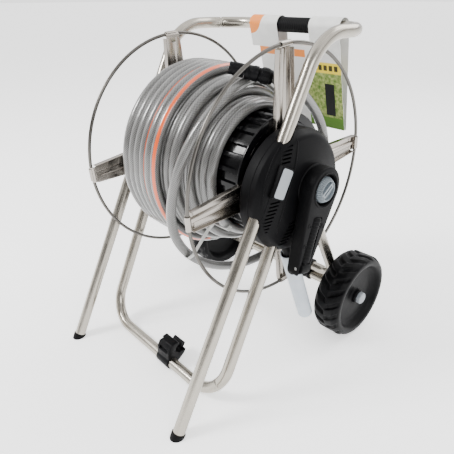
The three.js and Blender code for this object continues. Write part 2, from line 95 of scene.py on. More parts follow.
# The same path with points a fixed step apart
def evenly(path, step):
    along = lengthsAlong(path)
    stations = np.linspace(0, along[-1], max(2, int(along[-1] / step)))
    return np.stack([np.interp(stations, along, path[:, i]) for i in range(path.shape[1])], -1)


# Catmull-Rom curve through the points, perSpan samples between each two
def curveThrough(points, perSpan=8):
    p = np.array(points, float)
    p = np.concatenate([2 * p[:1] - p[1:2], p, 2 * p[-1:] - p[-2:-1]])
    t = (np.arange(perSpan) / perSpan)[None, :, None]
    a, b, c, d = (p[i : len(p) - 3 + i, None] for i in range(4))
    run = 0.5 * (2 * b + (c - a) * t + (2 * a - 5 * b + 4 * c - d) * t**2 + (3 * b - a - 3 * c + d) * t**3)
    return np.concatenate([run.reshape(-1, p.shape[1]), p[-2:-1]])


# Turned about the X axis, or about a line parallel to it through centre (y, z)
def turned(points, degrees, centre=(0, 0)):
    a = np.radians(degrees)
    moved = points - np.array([0, *centre])
    y = moved[..., 1] * np.cos(a) - moved[..., 2] * np.sin(a)
    z = moved[..., 1] * np.sin(a) + moved[..., 2] * np.cos(a)
    return np.stack([moved[..., 0], y, z], -1) + np.array([0, *centre])


# A grid of points (rows, columns, 3) as quads. Its texture coordinates are u along the rows, in metres
# where lengths are given, and v round the columns from 0 to 1.
def gridPart(points, wrapRows=False, wrapCols=False, ends=False, u=None):
    rows, cols = points.shape[:2]
    r, c = np.meshgrid(
        np.arange(rows if wrapRows else rows - 1), np.arange(cols if wrapCols else cols - 1), indexing="ij"
    )
    r, c = r.ravel(), c.ravel()
    corners = [(r, c), (r + 1, c), (r + 1, c + 1), (r, c + 1)]
    faces = np.stack([(i % rows) * cols + j % cols for i, j in corners], -1)
    uRow = np.arange(rows + 1) / rows if u is None else np.append(u, u[-1])
    uv = np.stack([np.stack([uRow[i], j / cols], -1) for i, j in corners], 1)
    polygons, uvs = faces.tolist(), uv.reshape(-1, 2)
    if ends:
        last = (rows - 1) * cols
        polygons += [list(range(cols)), list(range(last, last + cols))]
        uvs = np.concatenate([uvs, np.zeros((2 * cols, 2))])
    return points.reshape(-1, 3), polygons, uvs


# A profile of (radius, x) spun about the X axis, or about a line parallel to it
def spun(profile, segments=64, centre=(0, 0), closed=False, radial=None):
    profile = np.array(profile, float)
    a = np.arange(segments) / segments * 2 * np.pi
    r = np.broadcast_to(profile[:, :1], (len(profile), segments))
    if radial is not None:
        r = radial(profile[:, :1], profile[:, 1:], a[None])
    x = np.broadcast_to(profile[:, 1:], r.shape)
    points = np.stack([x, centre[0] + r * np.cos(a), centre[1] + r * np.sin(a)], -1)
    return gridPart(points, closed, True)


# A circle of the radius carried along a path. side is a direction the path never runs along.
# With a wall the bar is a pipe: its outer skin runs out and its inner skin runs back.
def swept(path, radius, sides=24, side=(1, 0, 0), wall=0.0, closed=False):
    path = np.asarray(path, float)
    if closed:
        along = unit(np.roll(path, -1, 0) - np.roll(path, 1, 0))
    else:
        along = unit(np.gradient(path, axis=0))
    first = unit(np.cross(along, side))
    second = np.cross(along, first)
    a = (np.arange(sides) / sides * 2 * np.pi)[None, :, None]
    ring = first[:, None] * np.cos(a) + second[:, None] * np.sin(a)
    radius = np.broadcast_to(radius, len(path))[:, None, None]
    skin = path[:, None] + radius * ring
    u = lengthsAlong(path) * mm
    if closed:
        return gridPart(skin, True, True)
    if wall:
        inner = path[:, None] + (radius - wall) * ring
        return gridPart(np.concatenate([skin, inner[::-1]]), True, True, u=np.concatenate([u, u[::-1]]))
    return gridPart(skin, False, True, ends=True, u=u)


# A straight bar with its own radius at each of its stations, (distance, radius), along a direction
def turnedBar(start, direction, stations, sides=32, closed=False):
    start, direction = np.array(start, float), unit(direction)
    stations = np.array(stations, float)
    side = np.array([1, 0, 0]) if abs(direction[0]) < 0.8 else np.array([0, 0, 1])
    first = unit(np.cross(direction, side))
    second = np.cross(direction, first)
    a = (np.arange(sides) / sides * 2 * np.pi)[None, :, None]
    ring = first * np.cos(a) + second * np.sin(a)
    points = start + stations[:, :1, None] * direction + stations[:, 1:, None] * ring
    return gridPart(points, closed, True)


# An outline of (y, z) points pulled from x0 to x1
def slab(outline, x0, x1):
    outline = np.array(outline, float)
    ring = [np.concatenate([np.full((len(outline), 1), x), outline], 1) for x in (x0, x1)]
    return gridPart(np.stack(ring), False, True, ends=True)


def block(size, centre, lean=0.0):
    x, y, z = np.array(size) / 2
    points, polygons, uvs = slab([(-y, -z), (y, -z), (y, z), (-y, z)], -x, x)
    return turned(points, lean) + np.array(centre), polygons, uvs


def movedPart(part, change):
    return change(part[0]), part[1], part[2]


def acrossX(part):
    return movedPart(part, lambda p: p * np.array([-1, 1, 1]))


# Joins the parts into one object. Doubles are merged and the faces turned outwards.
def buildObject(name, parts, sharpAngle=38):
    points, polygons, uvs, start = [], [], [], 0
    for partPoints, partPolygons, partUvs in parts:
        points.append(partPoints)
        polygons += [[i + start for i in face] for face in partPolygons]
        uvs.append(partUvs)
        start += len(partPoints)
    mesh = bpy.data.meshes.new(name)
    mesh.from_pydata(np.concatenate(points) * mm + reelCentre, [], polygons)
    mesh.uv_layers.new(name="run").data.foreach_set("uv", np.concatenate(uvs).ravel())
    tidy = bmesh.new()
    tidy.from_mesh(mesh)
    bmesh.ops.remove_doubles(tidy, verts=tidy.verts, dist=2e-6)
    loose = [edge for edge in tidy.edges if edge.is_wire]
    bmesh.ops.delete(tidy, geom=loose, context="EDGES")
    bmesh.ops.recalc_face_normals(tidy, faces=tidy.faces)
    tidy.to_mesh(mesh)
    tidy.free()
    mesh.shade_smooth()
    mesh.set_sharp_from_angle(angle=np.radians(sharpAngle))
    piece = bpy.data.objects.new(name, mesh)
    bpy.context.collection.objects.link(piece)
    return piece


# Puts what the live modifiers make into the mesh itself
def settle(piece, sharpAngle=38):
    bpy.context.view_layer.update()
    made = bpy.data.meshes.new_from_object(piece.evaluated_get(bpy.context.evaluated_depsgraph_get()))
    piece.modifiers.clear()
    piece.data = made
    made.shade_smooth()
    made.set_sharp_from_angle(angle=np.radians(sharpAngle))
    return piece


def soften(piece, width, segments=3, angle=40):
    bevel = piece.modifiers.new("soften", "BEVEL")
    bevel.width = width * mm
    bevel.segments = segments
    bevel.limit_method = "ANGLE"
    bevel.angle_limit = np.radians(angle)
    return settle(piece, 32)


# Cuts the tool shapes out of a piece, or joins them to it
def carve(piece, tools, operation="DIFFERENCE"):
    cutter = buildObject(piece.name + "_tool", tools)
    cut = piece.modifiers.new("carve", "BOOLEAN")
    cut.object = cutter
    cut.operation = operation
    cut.solver = "EXACT"
    cut.use_self = True
    settle(piece)
    bpy.data.objects.remove(cutter)
    return piece


def finishPiece(piece, body, slot, look, *replaced):
    piece.data.materials.clear()
    piece.data.materials.append(look)
    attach(piece, body)
    if replaced:
        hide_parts(*replaced)
    return piece


def buildPiece(name, parts, body, slot, look, *replaced, sharpAngle=38):
    return finishPiece(buildObject(name, parts, sharpAngle), body, slot, look, *replaced)


# Camera and light: aimed from in front, above and to the crank's side
view = {"place": (618.9, -587.4, 283.6), "aim": (35.5, -38.1, -126.3), "lens": 35.82, "roll": -0.17}


def placeCamera():
    lens = bpy.data.cameras.new("camera")
    lens.lens = view["lens"]
    lens.sensor_width = 36
    camera = bpy.data.objects.new("camera", lens)
    bpy.context.collection.objects.link(camera)
    place = Vector(np.array(view["place"]) * mm + reelCentre)
    aim = Vector(np.array(view["aim"]) * mm + reelCentre)
    turn = (aim - place).to_track_quat("-Z", "Y").to_matrix() @ Matrix.Rotation(
        np.radians(view["roll"]), 3, "Z"
    )
    camera.matrix_world = Matrix.Translation(place) @ turn.to_4x4()
    bpy.context.scene.camera = camera


# place and aim in metres from the floor's middle, side, watts
studio = {"sky": 1.9, "floorHalf": 60, "dimSide": (0.45, -0.86, 0.24), "lamps": [
    ((-1.2, -1.9, 2.3), (0.0, 0.0, 0.3), 0.8, 95),
    ((2.4, -0.9, 1.7), (0.0, 0.0, 0.3), 1.2, 30),
    ((0.3, 2.2, 2.2), (0.0, 0.0, 0.4), 1.8, 42),
]}


def lightStudio():
    world = bpy.data.worlds.new("studio")
    bpy.context.scene.world = world
    world.use_nodes = True
    tree = world.node_tree
    back = tree.nodes["Background"]
    back.inputs["Strength"].default_value = studio["sky"]
    # the sky is white overhead and at the horizon, with a greyer band between that gives round steel its
    # streaks
    direction = tree.nodes.new("ShaderNodeTexCoord")
    split = tree.nodes.new("ShaderNodeSeparateXYZ")
    bands = tree.nodes.new("ShaderNodeValToRGB")
    tree.links.new(direction.outputs["Generated"], split.inputs[0])
    tree.links.new(split.outputs["Z"], bands.inputs["Fac"])
    ramp = bands.color_ramp
    ramp.elements[0].position = 0.0
    ramp.elements[0].color = (1, 1, 1, 1)
    ramp.elements[1].position = 1.0
    ramp.elements[1].color = (1, 1, 1, 1)
    for place, grey in ((0.1, 1.0), (0.2, 0.45), (0.34, 0.5), (0.48, 1.0)):
        ramp.elements.new(place).color = (grey, grey, grey, 1)
    # the room in front of the cart is dim: the share of it is how far a direction leans that way
    toFront = tree.nodes.new("ShaderNodeVectorMath")
    toFront.operation = "DOT_PRODUCT"
    toFront.inputs[1].default_value = studio["dimSide"]
    tree.links.new(direction.outputs["Generated"], toFront.inputs[0])
    dim = tree.nodes.new("ShaderNodeMapRange")
    dim.interpolation_type = "SMOOTHSTEP"
    for label, value in (("From Min", 0.35), ("From Max", 0.75), ("To Min", 1.0), ("To Max", 0.32)):
        dim.inputs[label].default_value = value
    tree.links.new(toFront.outputs["Value"], dim.inputs["Value"])
    shade = tree.nodes.new("ShaderNodeMix")
    shade.data_type = "RGBA"
    shade.blend_type = "MULTIPLY"
    shade.inputs[0].default_value = 1.0
    tree.links.new(bands.outputs["Color"], shade.inputs[6])
    tree.links.new(dim.outputs[0], shade.inputs[7])
    tree.links.new(shade.outputs[2], back.inputs["Color"])
    for number, (place, aim, side, watts) in enumerate(studio["lamps"]):
        lamp = bpy.data.lights.new(f"lamp_{number}", "AREA")
        lamp.shape = "SQUARE"
        lamp.size = side
        lamp.energy = watts
        holder = bpy.data.objects.new(f"lamp_{number}", lamp)
        bpy.context.collection.objects.link(holder)
        turn = (Vector(aim) - Vector(place)).to_track_quat("-Z", "Y").to_matrix().to_4x4()
        holder.matrix_world = Matrix.Translation(Vector(place)) @ turn


def layFloor():
    mesh = bpy.data.meshes.new("floor")
    half = studio["floorHalf"]
    mesh.from_pydata(
        [(-half, -half, 0), (half, -half, 0), (half, half, 0), (-half, half, 0)], [], [(0, 1, 2, 3)]
    )
    floor = bpy.data.objects.new("floor", mesh)
    bpy.context.collection.objects.link(floor)
    pale = bpy.data.materials.new("pale floor")
    pale.use_nodes = True
    shader = pale.node_tree.nodes["Principled BSDF"]
    shader.inputs["Base Color"].default_value = (0.96, 0.96, 0.96, 1)
    shader.inputs["Roughness"].default_value = 0.8
    shader.inputs["Emission Color"].default_value = (1, 1, 1, 1)
    shader.inputs["Emission Strength"].default_value = 0.9
    mesh.materials.append(pale)


placeCamera()
lightStudio()
layFloor()
print("camera, light and floor set")


# Materials
def newLook(name, **sockets):
    look = bpy.data.materials.new(name)
    look.use_nodes = True
    shader = look.node_tree.nodes["Principled BSDF"]
    for label, value in sockets.items():
        shader.inputs[label.replace("_", " ")].default_value = value
    return look, look.node_tree, shader


def addNode(tree, kind, *inputs, **settings):
    node = tree.nodes.new("ShaderNode" + kind)
    for label, value in settings.items():
        setattr(node, label, value)
    for place, value in enumerate(inputs):
        if isinstance(value, bpy.types.NodeSocket):
            tree.links.new(value, node.inputs[place])
        elif value is not None:
            node.inputs[place].default_value = value
    return node


def sums(tree, operation, a, b=None, c=None):
    return addNode(tree, "Math", a, b, c, operation=operation).outputs[0]


def mixColour(tree, factor, a, b):
    mix = addNode(tree, "Mix", data_type="RGBA")
    for place, value in ((0, factor), (6, a), (7, b)):
        if isinstance(value, bpy.types.NodeSocket):
            tree.links.new(value, mix.inputs[place])
        else:
            mix.inputs[place].default_value = (*value, 1) if place else value
    return mix.outputs[2]


# Noise on the object's own coordinates, or on a vector, stretched by scale
def grain(tree, size, detail=3, stretch=(1, 1, 1), vector=None):
    source = vector or addNode(tree, "TexCoord").outputs["Object"]
    spread = addNode(tree, "Mapping", source, None, None, stretch)
    return addNode(tree, "TexNoise", spread.outputs[0], None, 1 / size, detail).outputs["Fac"]


def rescale(tree, value, low, high, fromLow=0.3, fromHigh=0.7):
    return addNode(tree, "MapRange", value, fromLow, fromHigh, low, high).outputs[0]


def raiseBy(tree, shader, height, strength, distance):
    bump = addNode(tree, "Bump", strength, distance)
    tree.links.new(height, bump.inputs["Height"])
    tree.links.new(bump.outputs[0], shader.inputs["Normal"])


# Moulded plastic or rubber: a fine even grain, soft patches of sheen, and a little dust in the colour
def mouldedLook(name, colour, roughness, grainSize=0.0011, depth=0.00012, dust=0.35, specular=0.5):
    look, tree, shader = newLook(name, Specular_IOR_Level=specular)
    patches = grain(tree, 0.035, 4)
    fine = grain(tree, grainSize, 2)
    pale = tuple(min(1, c + dust * (0.03 + 0.25 * c)) for c in colour)
    tree.links.new(mixColour(tree, rescale(tree, patches, 0, 1), colour, pale), shader.inputs["Base Color"])
    mixed = sums(
        tree, "ADD", rescale(tree, patches, -0.05, 0.05),
        rescale(tree, fine, roughness - 0.05, roughness + 0.05)
    )
    tree.links.new(mixed, shader.inputs["Roughness"])
    raiseBy(tree, shader, fine, 0.35, depth)
    return look


# Satin stainless: streaks along the tube, from its own run of u metres and v round it
def steelLook(name, colour, roughness, streak=(14, 60), sheen=0.12):
    look, tree, shader = newLook(name, Metallic=1.0, Anisotropic=0.35)
    run = addNode(tree, "UVMap", uv_map="run").outputs[0]
    streaks = grain(tree, 1, 3, (streak[0], streak[1], 1), run)
    clouds = grain(tree, 0.03, 4)
    dark = tuple(c * 0.82 for c in colour)
    both = sums(tree, "ADD", rescale(tree, streaks, 0, 0.6), rescale(tree, clouds, 0, 0.4))
    tree.links.new(mixColour(tree, both, dark, colour), shader.inputs["Base Color"])
    rough = sums(
        tree, "ADD", rescale(tree, streaks, roughness - 0.06, roughness + sheen),
        rescale(tree, clouds, -0.03, 0.05)
    )
    tree.links.new(rough, shader.inputs["Roughness"])
    raiseBy(tree, shader, streaks, 0.05, 0.00004)
    return look


# Clear hose wall over crossing yarns. Two sine waves, one for each lay of the yarn, run along u and round v.
def hoseLook():
    look, tree, shader = newLook("hose", Coat_Weight=1.0, Coat_Roughness=0.07, Specular_IOR_Level=0.6)
    u, v = addNode(tree, "SeparateXYZ", addNode(tree, "UVMap", uv_map="run").outputs[0]).outputs[:2]
    yarns = []
    for sign in (-1, 1):
        phase = sums(
            tree, "ADD", sums(tree, "MULTIPLY", u, 1600), sums(tree, "MULTIPLY", v, sign * 2 * np.pi * 14)
        )
        yarns.append(sums(tree, "SINE", phase))
    weave = rescale(tree, sums(tree, "MAXIMUM", *yarns), 0, 1, 0.1, 0.95)
    cloud = grain(tree, 0.05, 3)
    under = mixColour(tree, rescale(tree, cloud, 0, 1), (0.022, 0.022, 0.021), (0.04, 0.04, 0.038))
    over = mixColour(tree, rescale(tree, cloud, 0, 1), (0.14, 0.138, 0.132), (0.20, 0.197, 0.19))
    plain = mixColour(tree, weave, under, over)
    facing = addNode(tree, "Attribute", attribute_name="stripe").outputs["Fac"]
    stripe = rescale(tree, facing, 0, 1, 0.915, 0.935)
    tree.links.new(mixColour(tree, stripe, plain, (0.74, 0.088, 0.002)), shader.inputs["Base Color"])
    tree.links.new(rescale(tree, cloud, 0.26, 0.4), shader.inputs["Roughness"])
    raiseBy(tree, shader, weave, 0.12, 0.0002)
    return look


def sleeveLook():
    look, tree, shader = newLook("milky sleeve", Transmission_Weight=0.45, IOR=1.45)
    cloud = grain(tree, 0.02, 3)
    tree.links.new(
        mixColour(tree, rescale(tree, cloud, 0, 1), (0.62, 0.68, 0.74), (0.72, 0.77, 0.82)),
        shader.inputs["Base Color"]
    )
    tree.links.new(rescale(tree, cloud, 0.3, 0.42), shader.inputs["Roughness"])
    raiseBy(tree, shader, grain(tree, 0.0015, 2), 0.1, 0.0002)
    return look


looks = {
    "tube": steelLook("satin tube", (0.42, 0.39, 0.338), 0.2),
    "spoke": steelLook("pressed steel", (0.38, 0.35, 0.315), 0.2, (0.8, 45), 0.05),
    "wire": steelLook("drawn wire", (0.125, 0.118, 0.108), 0.26, (20, 10)),
    "fastener": mouldedLook("plated fastener", (0.32, 0.32, 0.31), 0.35, 0.002, 0.00005),
    "housing": mouldedLook("housing plastic", (0.0016, 0.0016, 0.002), 0.5, dust=0.04, specular=0.07),
    "clip": mouldedLook("clip plastic", (0.0018, 0.0018, 0.0024), 0.4, dust=0.04, specular=0.1),
    "drum": mouldedLook("drum plastic", (0.0016, 0.0016, 0.002), 0.15, 0.003, 0.0001, 0.03, 0.24),
    "plate": mouldedLook("plate plastic", (0.26, 0.28, 0.30), 0.5, 0.0016),
    "knob": mouldedLook("knob plastic", (0.15, 0.175, 0.195), 0.42, 0.0016),
    "tyre": mouldedLook("tyre plastic", (0.0016, 0.0016, 0.002), 0.45, 0.0016, 0.0002, 0.05, 0.1),
    "rubber": mouldedLook("soft rubber", (0.0018, 0.0018, 0.0022), 0.58, 0.0008, 0.0002, 0.05, 0.1),
    "hose": hoseLook(),
    "sleeve": sleeveLook(),
    "tie": mouldedLook("tie plastic", (0.46, 0.46, 0.44), 0.4, 0.002, 0.0001),
}
print("materials made:", len(looks))

# Hose: 38 turns in four layers, then a loose turn that runs over the top to the nozzle
hose = {
    "radius": 8.75,
    "length": 34.6,
    "layers": [  # radius of the turns' middle, x of the first and last turn, number of turns
        (119.0, 83, -123, 13),
        (135.0, -106, 42, 10),
        (151.5, 21, -123, 9),
        (168.5, -97, -9.5, 6),
    ],
    "perTurn": 60,
    "crossing": 0.2,  # the share of a turn in which the hose steps over to the next place
    "enters": 78,  # distance from the nozzle's tip at which the hose is in line with it
    "easing": 60,
    "leaves": 37.72,  # the turn, and the share of it, at which the hose leaves the winding
    "loose": [  # degrees round from the back, x, radius: over the top, down the front and under
        (-100, -9.5, 168.5), (-60, -6, 168.7), (-30, 1, 169.5), (0, 11, 170), (30, 27, 169), (60, 47, 165),
        (90, 66, 161), (115, 75, 159), (135, 72, 161), (155, 63, 165), (175, 53, 171), (190, 43, 178.5),
        (203, 34, 187), (216, 31, 197), (230, 36, 205), (246, 48, 209), (264, 64, 207), (285, 84, 197),
        (306, 101, 183), (328, 113, 167), (350, 119, 155), (374, 122, 146.5), (398, 122, 143),
    ],
    "tail": [(121, 84, 114.6), (124, 66, 129), (125, 48, 143), (123.5, 28, 153.5)],
    "tip": (58, -54, 180),
    "nozzleRun": (0.7, 0.68, -0.22),
    "stripedTurns": {37: 38, 35: 72},  # degrees that the stripe leans from outermost towards the crank
}


def onNozzle(distance):
    return np.array(hose["tip"]) + distance * unit(hose["nozzleRun"])


# Each turn keeps its x and radius, and steps smoothly to the next turn's in the last part of its way round
def hosePath():
    xs = np.concatenate([np.linspace(first, last, turns) for _, first, last, turns in hose["layers"]])
    rs = np.concatenate([np.full(turns, radius) for radius, _, _, turns in hose["layers"]])
    xs, rs = np.append(xs, xs[-1]), np.append(rs, rs[-1])
    turns = len(xs) - 1
    t = np.arange(0, hose["leaves"], 1 / hose["perTurn"])
    k = np.minimum(t.astype(int), turns - 1)
    share = smooth(t - k, 1 - hose["crossing"], 1)
    # up to the next layer before stepping across
    climb = smooth(t - k, 1 - 2 * hose["crossing"], 1 - hose["crossing"])
    angle = 2 * np.pi * t
    x = xs[k] + (xs[k + 1] - xs[k]) * share + 0.7 * np.sin(angle + 0.5 * t) + 0.3 * np.sin(2.37 * angle)
    r = rs[k] + (rs[k + 1] - rs[k]) * climb + 0.5 * np.sin(2 * angle + 0.9 * t)
    r = r - 20 * (1 - smooth(t, 0, 0.3))  # the inner end comes out through the drum's wall
    coil = np.stack([x, r * np.cos(angle), r * np.sin(angle)], -1)
    degrees, looseX, looseR = np.array(hose["loose"]).T
    a = np.radians(degrees)
    loose = np.stack([looseX, looseR * np.cos(a), looseR * np.sin(a)], -1)
    ending = evenly(curveThrough([*loose, *hose["tail"], onNozzle(hose["enters"])], 10), 4)
    fixed = np.array([onNozzle(hose["enters"] - d) for d in (3, 6, 9, 12)])
    run = np.concatenate([ending, fixed])
    for _ in range(hose["easing"]):  # each point moves to the mean of itself and its two neighbours
        run[2:-4] = (run[1:-5] + 2 * run[2:-4] + run[3:-3]) / 4
    return np.concatenate([coil, run])


# How far each point of the hose faces its stripe: 1 on the stripe's middle, -1 opposite it
def hoseStripe(path, sides):
    angle = np.unwrap(np.arctan2(path[:, 2], path[:, 1]))
    turn = (angle - angle[0]) / (2 * np.pi)
    off = np.full(len(path), 180.0)
    for number, degrees in hose["stripedTurns"].items():
        inside = smooth(turn, number + 0.08, number + 0.16) * (1 - smooth(turn, number + 0.66, number + 0.76))
        off = off + (degrees - 180) * inside
    around = np.arange(sides) / sides * 360
    facing = np.cos(np.radians(around[None] + off[:, None]))
    # the loose turn shows its plain side all round
    return np.where(turn[:, None] > hose["leaves"], -1, facing)


def makeHose():
    path = hosePath()
    sides = 16
    piece = buildObject("gardenHose", [swept(path, hose["radius"], sides)])
    # each circle's first point is its outermost one, and the next ones turn away from the crank
    stripe = piece.data.attributes.new("stripe", "FLOAT", "POINT")
    value = hoseStripe(path, sides).ravel().astype(np.float32)
    stripe.data.foreach_set("value", value)
    finishPiece(piece, "reel", "hose_pvc", looks["hose"], "hose_coil", "hose_tail")
    return piece, path * mm + reelCentre


hosePiece, hoseRun = makeHose()
print("hose made:", round(float(lengthsAlong(hoseRun)[-1]), 2), "m")


# Nozzle on the hose's end
def groovedBar(start, end, radius, grooves, depth, step=1.0):
    d = np.arange(start, end + step / 2, step)
    wave = depth * (0.5 - 0.5 * np.cos(2 * np.pi * grooves * (d - start) / (end - start)))
    return np.stack([d, radius - wave], -1)


# Short bars of eight sides set round the nozzle, so far from its tip and its middle line
def gripBars(station, reach, count, stations):
    run = hose["nozzleRun"]
    side = unit(np.cross(run, (0, 0, 1)))
    bars = []
    for i in range(count):
        a = 2 * np.pi * i / count
        out = side * np.cos(a) + np.cross(unit(run), side) * np.sin(a)
        bars.append(turnedBar(onNozzle(station) + out * reach, run, stations, 8))
    return bars


def makeNozzle():
    tip, run = hose["tip"], hose["nozzleRun"]
    barrelLine = bentPath(
        [
            (14, 0), (14, 5.6), (0, 5.6), (0, 9.4), (2, 10.4), (6, 10.2), (22, 10.9), (25, 11.6),
            (25.8, 11), (25.8, 0)
        ],
        0.8, 4
    )
    headBars = gripBars(7, 10.2, 12, [(0, 0), (0.4, 0.9), (14, 1.1), (14.6, 0)])
    barrel = [turnedBar(tip, run, barrelLine, 40), *headBars]
    barrelPiece = buildPiece(
        "nozzleBarrel", barrel, "nozzle_barrel", "clip_plastic", looks["clip"], "nozzle_barrel"
    )
    bodyLine = bentPath(
        [(26.3, 0), (26.3, 10.6), (28, 11.4), (40, 11.9), (42, 12.7), (48.5, 12.7), (49.7, 11), (49.7, 0)],
        0.7, 4
    )
    # the grooved band is an open tube: its two ends aren't closed down to the body
    body = [
        turnedBar(tip, run, bodyLine, 40),
        turnedBar(onNozzle(33), run, groovedBar(0, 6, 12.1, 3, 0.8, 0.25), 40)
    ]
    bodyPiece = buildPiece("nozzleBody", body, "reel", "clip_plastic", looks["clip"], "nozzle_body")
    line = bentPath(
        [
            (50, 0), (50, 11), (54, 11.5), (54.5, 13), (67, 13), (68, 11.8), (73, 11.2), (73, 8.9),
            (66, 8.9), (66, 0)
        ],
        0.6, 4
    )
    nutBars = gripBars(56, 12.4, 16, [(0, 0), (0.4, 1.0), (9, 1.0), (9.6, 0)])
    connector = [turnedBar(tip, run, line, 40), *nutBars]
    connectorPiece = buildPiece(
        "hoseConnector", connector, "reel", "clip_plastic", looks["clip"], "hose_connector"
    )
    return [connectorPiece, bodyPiece, barrelPiece]


nozzlePieces = makeNozzle()

# Frame tubes
tubes = {
    "radius": 11, "wall": 1.3, "sides": 32, "step": 4,
    "leg": {"x": 177, "y": -91.6, "slope": 0.51, "end": -380.5},
    "handle": {"y": 170, "z": 233, "knee": 90, "corner": 70},
    "loop": {"x": 178, "y": -22, "slope": 0.47, "top": -20, "bar": -374, "corner": 65},
    "axleLoop": {"x": 165, "top": (42, -45), "bar": (170, -274), "corner": 40},
    "axle": {"radius": 9.5, "half": 238, "y": 167, "z": -295.5},
}


def legPoint(z):
    leg = tubes["leg"]
    return np.array([leg["x"], leg["y"] + leg["slope"] * z, z])


def loopPoint(z):
    loop = tubes["loop"]
    return np.array([loop["x"], loop["y"] + loop["slope"] * z, z])


def bothSides(half):
    half = [np.array(p, float) for p in half]
    return half + [p * (-1, 1, 1) for p in reversed(half)]


def makeTubes():
    handle, loop, axleLoop = tubes["handle"], tubes["loop"], tubes["axleLoop"]
    corner = (tubes["leg"]["x"], handle["y"], handle["z"])
    main = bothSides([legPoint(tubes["leg"]["end"]), legPoint(handle["z"]), corner])
    radii = [handle["knee"], handle["corner"], handle["corner"], handle["knee"]]
    buildPiece("mainTube", [bentPipe(main, radii)], "frame", "steel_tube", looks["tube"], "main_frame_tube")
    front = bothSides([loopPoint(loop["top"]), loopPoint(loop["bar"])])
    buildPiece(
        "frontTube", [bentPipe(front, loop["corner"])], "frame", "steel_tube", looks["tube"],
        "front_loop_tube"
    )
    back = bothSides([(axleLoop["x"], *axleLoop["top"]), (axleLoop["x"], *axleLoop["bar"])])
    buildPiece(
        "axleTube", [bentPipe(back, axleLoop["corner"])], "frame", "steel_tube", looks["tube"],
        "axle_loop_tube"
    )
    axle = tubes["axle"]
    ends = [(-axle["half"], axle["radius"] - 1), (1 - axle["half"], axle["radius"])]
    line = [(-axle["half"], 0), *ends, *[(-x, r) for x, r in reversed(ends)], (axle["half"], 0)]
    bar = turnedBar((0, axle["y"], axle["z"]), (1, 0, 0), line, 32)
    buildPiece("wheelAxle", [bar], "frame", "steel_tube", looks["tube"], "axle")


# A bent pipe whose circles are carried without twist: each is square to the run, and starts from the
# normal of the plane that the nearest bend lies in
def bentPipe(corners, radii):
    path = evenly(bentPath(corners, radii, 16), tubes["step"])
    along = unit(np.gradient(path, axis=0))
    outward = np.cross(along, (1, 0, 0))
    lying = np.cross(along, (0, 0.89, 0.45))
    share = smooth(np.abs(along[:, 0]), 0.35, 0.65)[:, None]
    first = unit(outward * (1 - share) + lying * share)
    first = unit(first - np.sum(first * along, 1, keepdims=True) * along)
    second = np.cross(along, first)
    a = (np.arange(tubes["sides"]) / tubes["sides"] * 2 * np.pi)[None, :, None]
    ring = first[:, None] * np.cos(a) + second[:, None] * np.sin(a)
    skin = path[:, None] + tubes["radius"] * ring
    inner = path[::-1, None] + (tubes["radius"] - tubes["wall"]) * ring[::-1]
    u = lengthsAlong(path) * mm
    return gridPart(np.concatenate([skin, inner]), True, True, u=np.concatenate([u, u[::-1]]))


makeTubes()
print("frame tubes made")

# Grip, foot caps, clip and saddles
grip = {"half": 85, "radius": 14, "bore": 11.2, "grooves": 34, "depth": 0.45}


def makeGrip():
    handle = tubes["handle"]
    x = np.linspace(-grip["half"] + 9, grip["half"] - 9, grip["grooves"] * 8)
    wave = grip["depth"] * (
        0.5 - 0.5 * np.cos(2 * np.pi * grip["grooves"] * (x - x[0]) / (x[-1] - x[0]))
    ) ** 2
    rim = bentPath(
        [(grip["bore"], -grip["half"]), (grip["radius"], -grip["half"]), (grip["radius"], -grip["half"] + 8)],
        1.6, 6
    )
    skin = np.stack([grip["radius"] - wave, x], -1)
    outer = np.concatenate([rim, skin, (rim * (1, -1))[::-1]])
    profile = np.concatenate([outer, [(grip["bore"], grip["half"] - 1)], [(grip["bore"], 1 - grip["half"])]])
    part = spun(profile, 48, (handle["y"], handle["z"]), closed=True)
    buildPiece("handleGrip", [part], "frame", "grip_rubber", looks["rubber"], "handle_grip")


footCap = [
    (-16, 0), (-16, 12.4), (-1.2, 12.6), (-0.3, 11.8), (-0.3, 9.6), (0.2, 9.2), (9, 8.8), (10, 7), (10, 0)
]


# A thin rim under the tube's end, with a plug inside it. What reaches below the floor is pushed up to it
# along the leg.
def makeFootCap(side):
    end = legPoint(tubes["leg"]["end"])
    along = unit((0, tubes["leg"]["slope"], 1))
    line = bentPath(footCap, 0.6, 4)
    points, polygons, uvs = turnedBar(end, along, line, 48)
    floorZ = -reelCentre[2] / mm
    low = points[:, 2] < floorZ + 0.15
    slide = (floorZ + 0.15 - points[:, 2]) / along[2]
    points = np.where(low[:, None], points + slide[:, None] * along, points)
    part = (points, polygons, uvs)
    name = "near" if side > 0 else "far"
    part = part if side > 0 else acrossX(part)
    buildPiece(f"footCap_{name}", [part], "frame", "grip_rubber", looks["rubber"], f"foot_cap_{name}")


clip = {"x0": 6, "x1": 44, "collar": 13.6, "bore": 11.2}


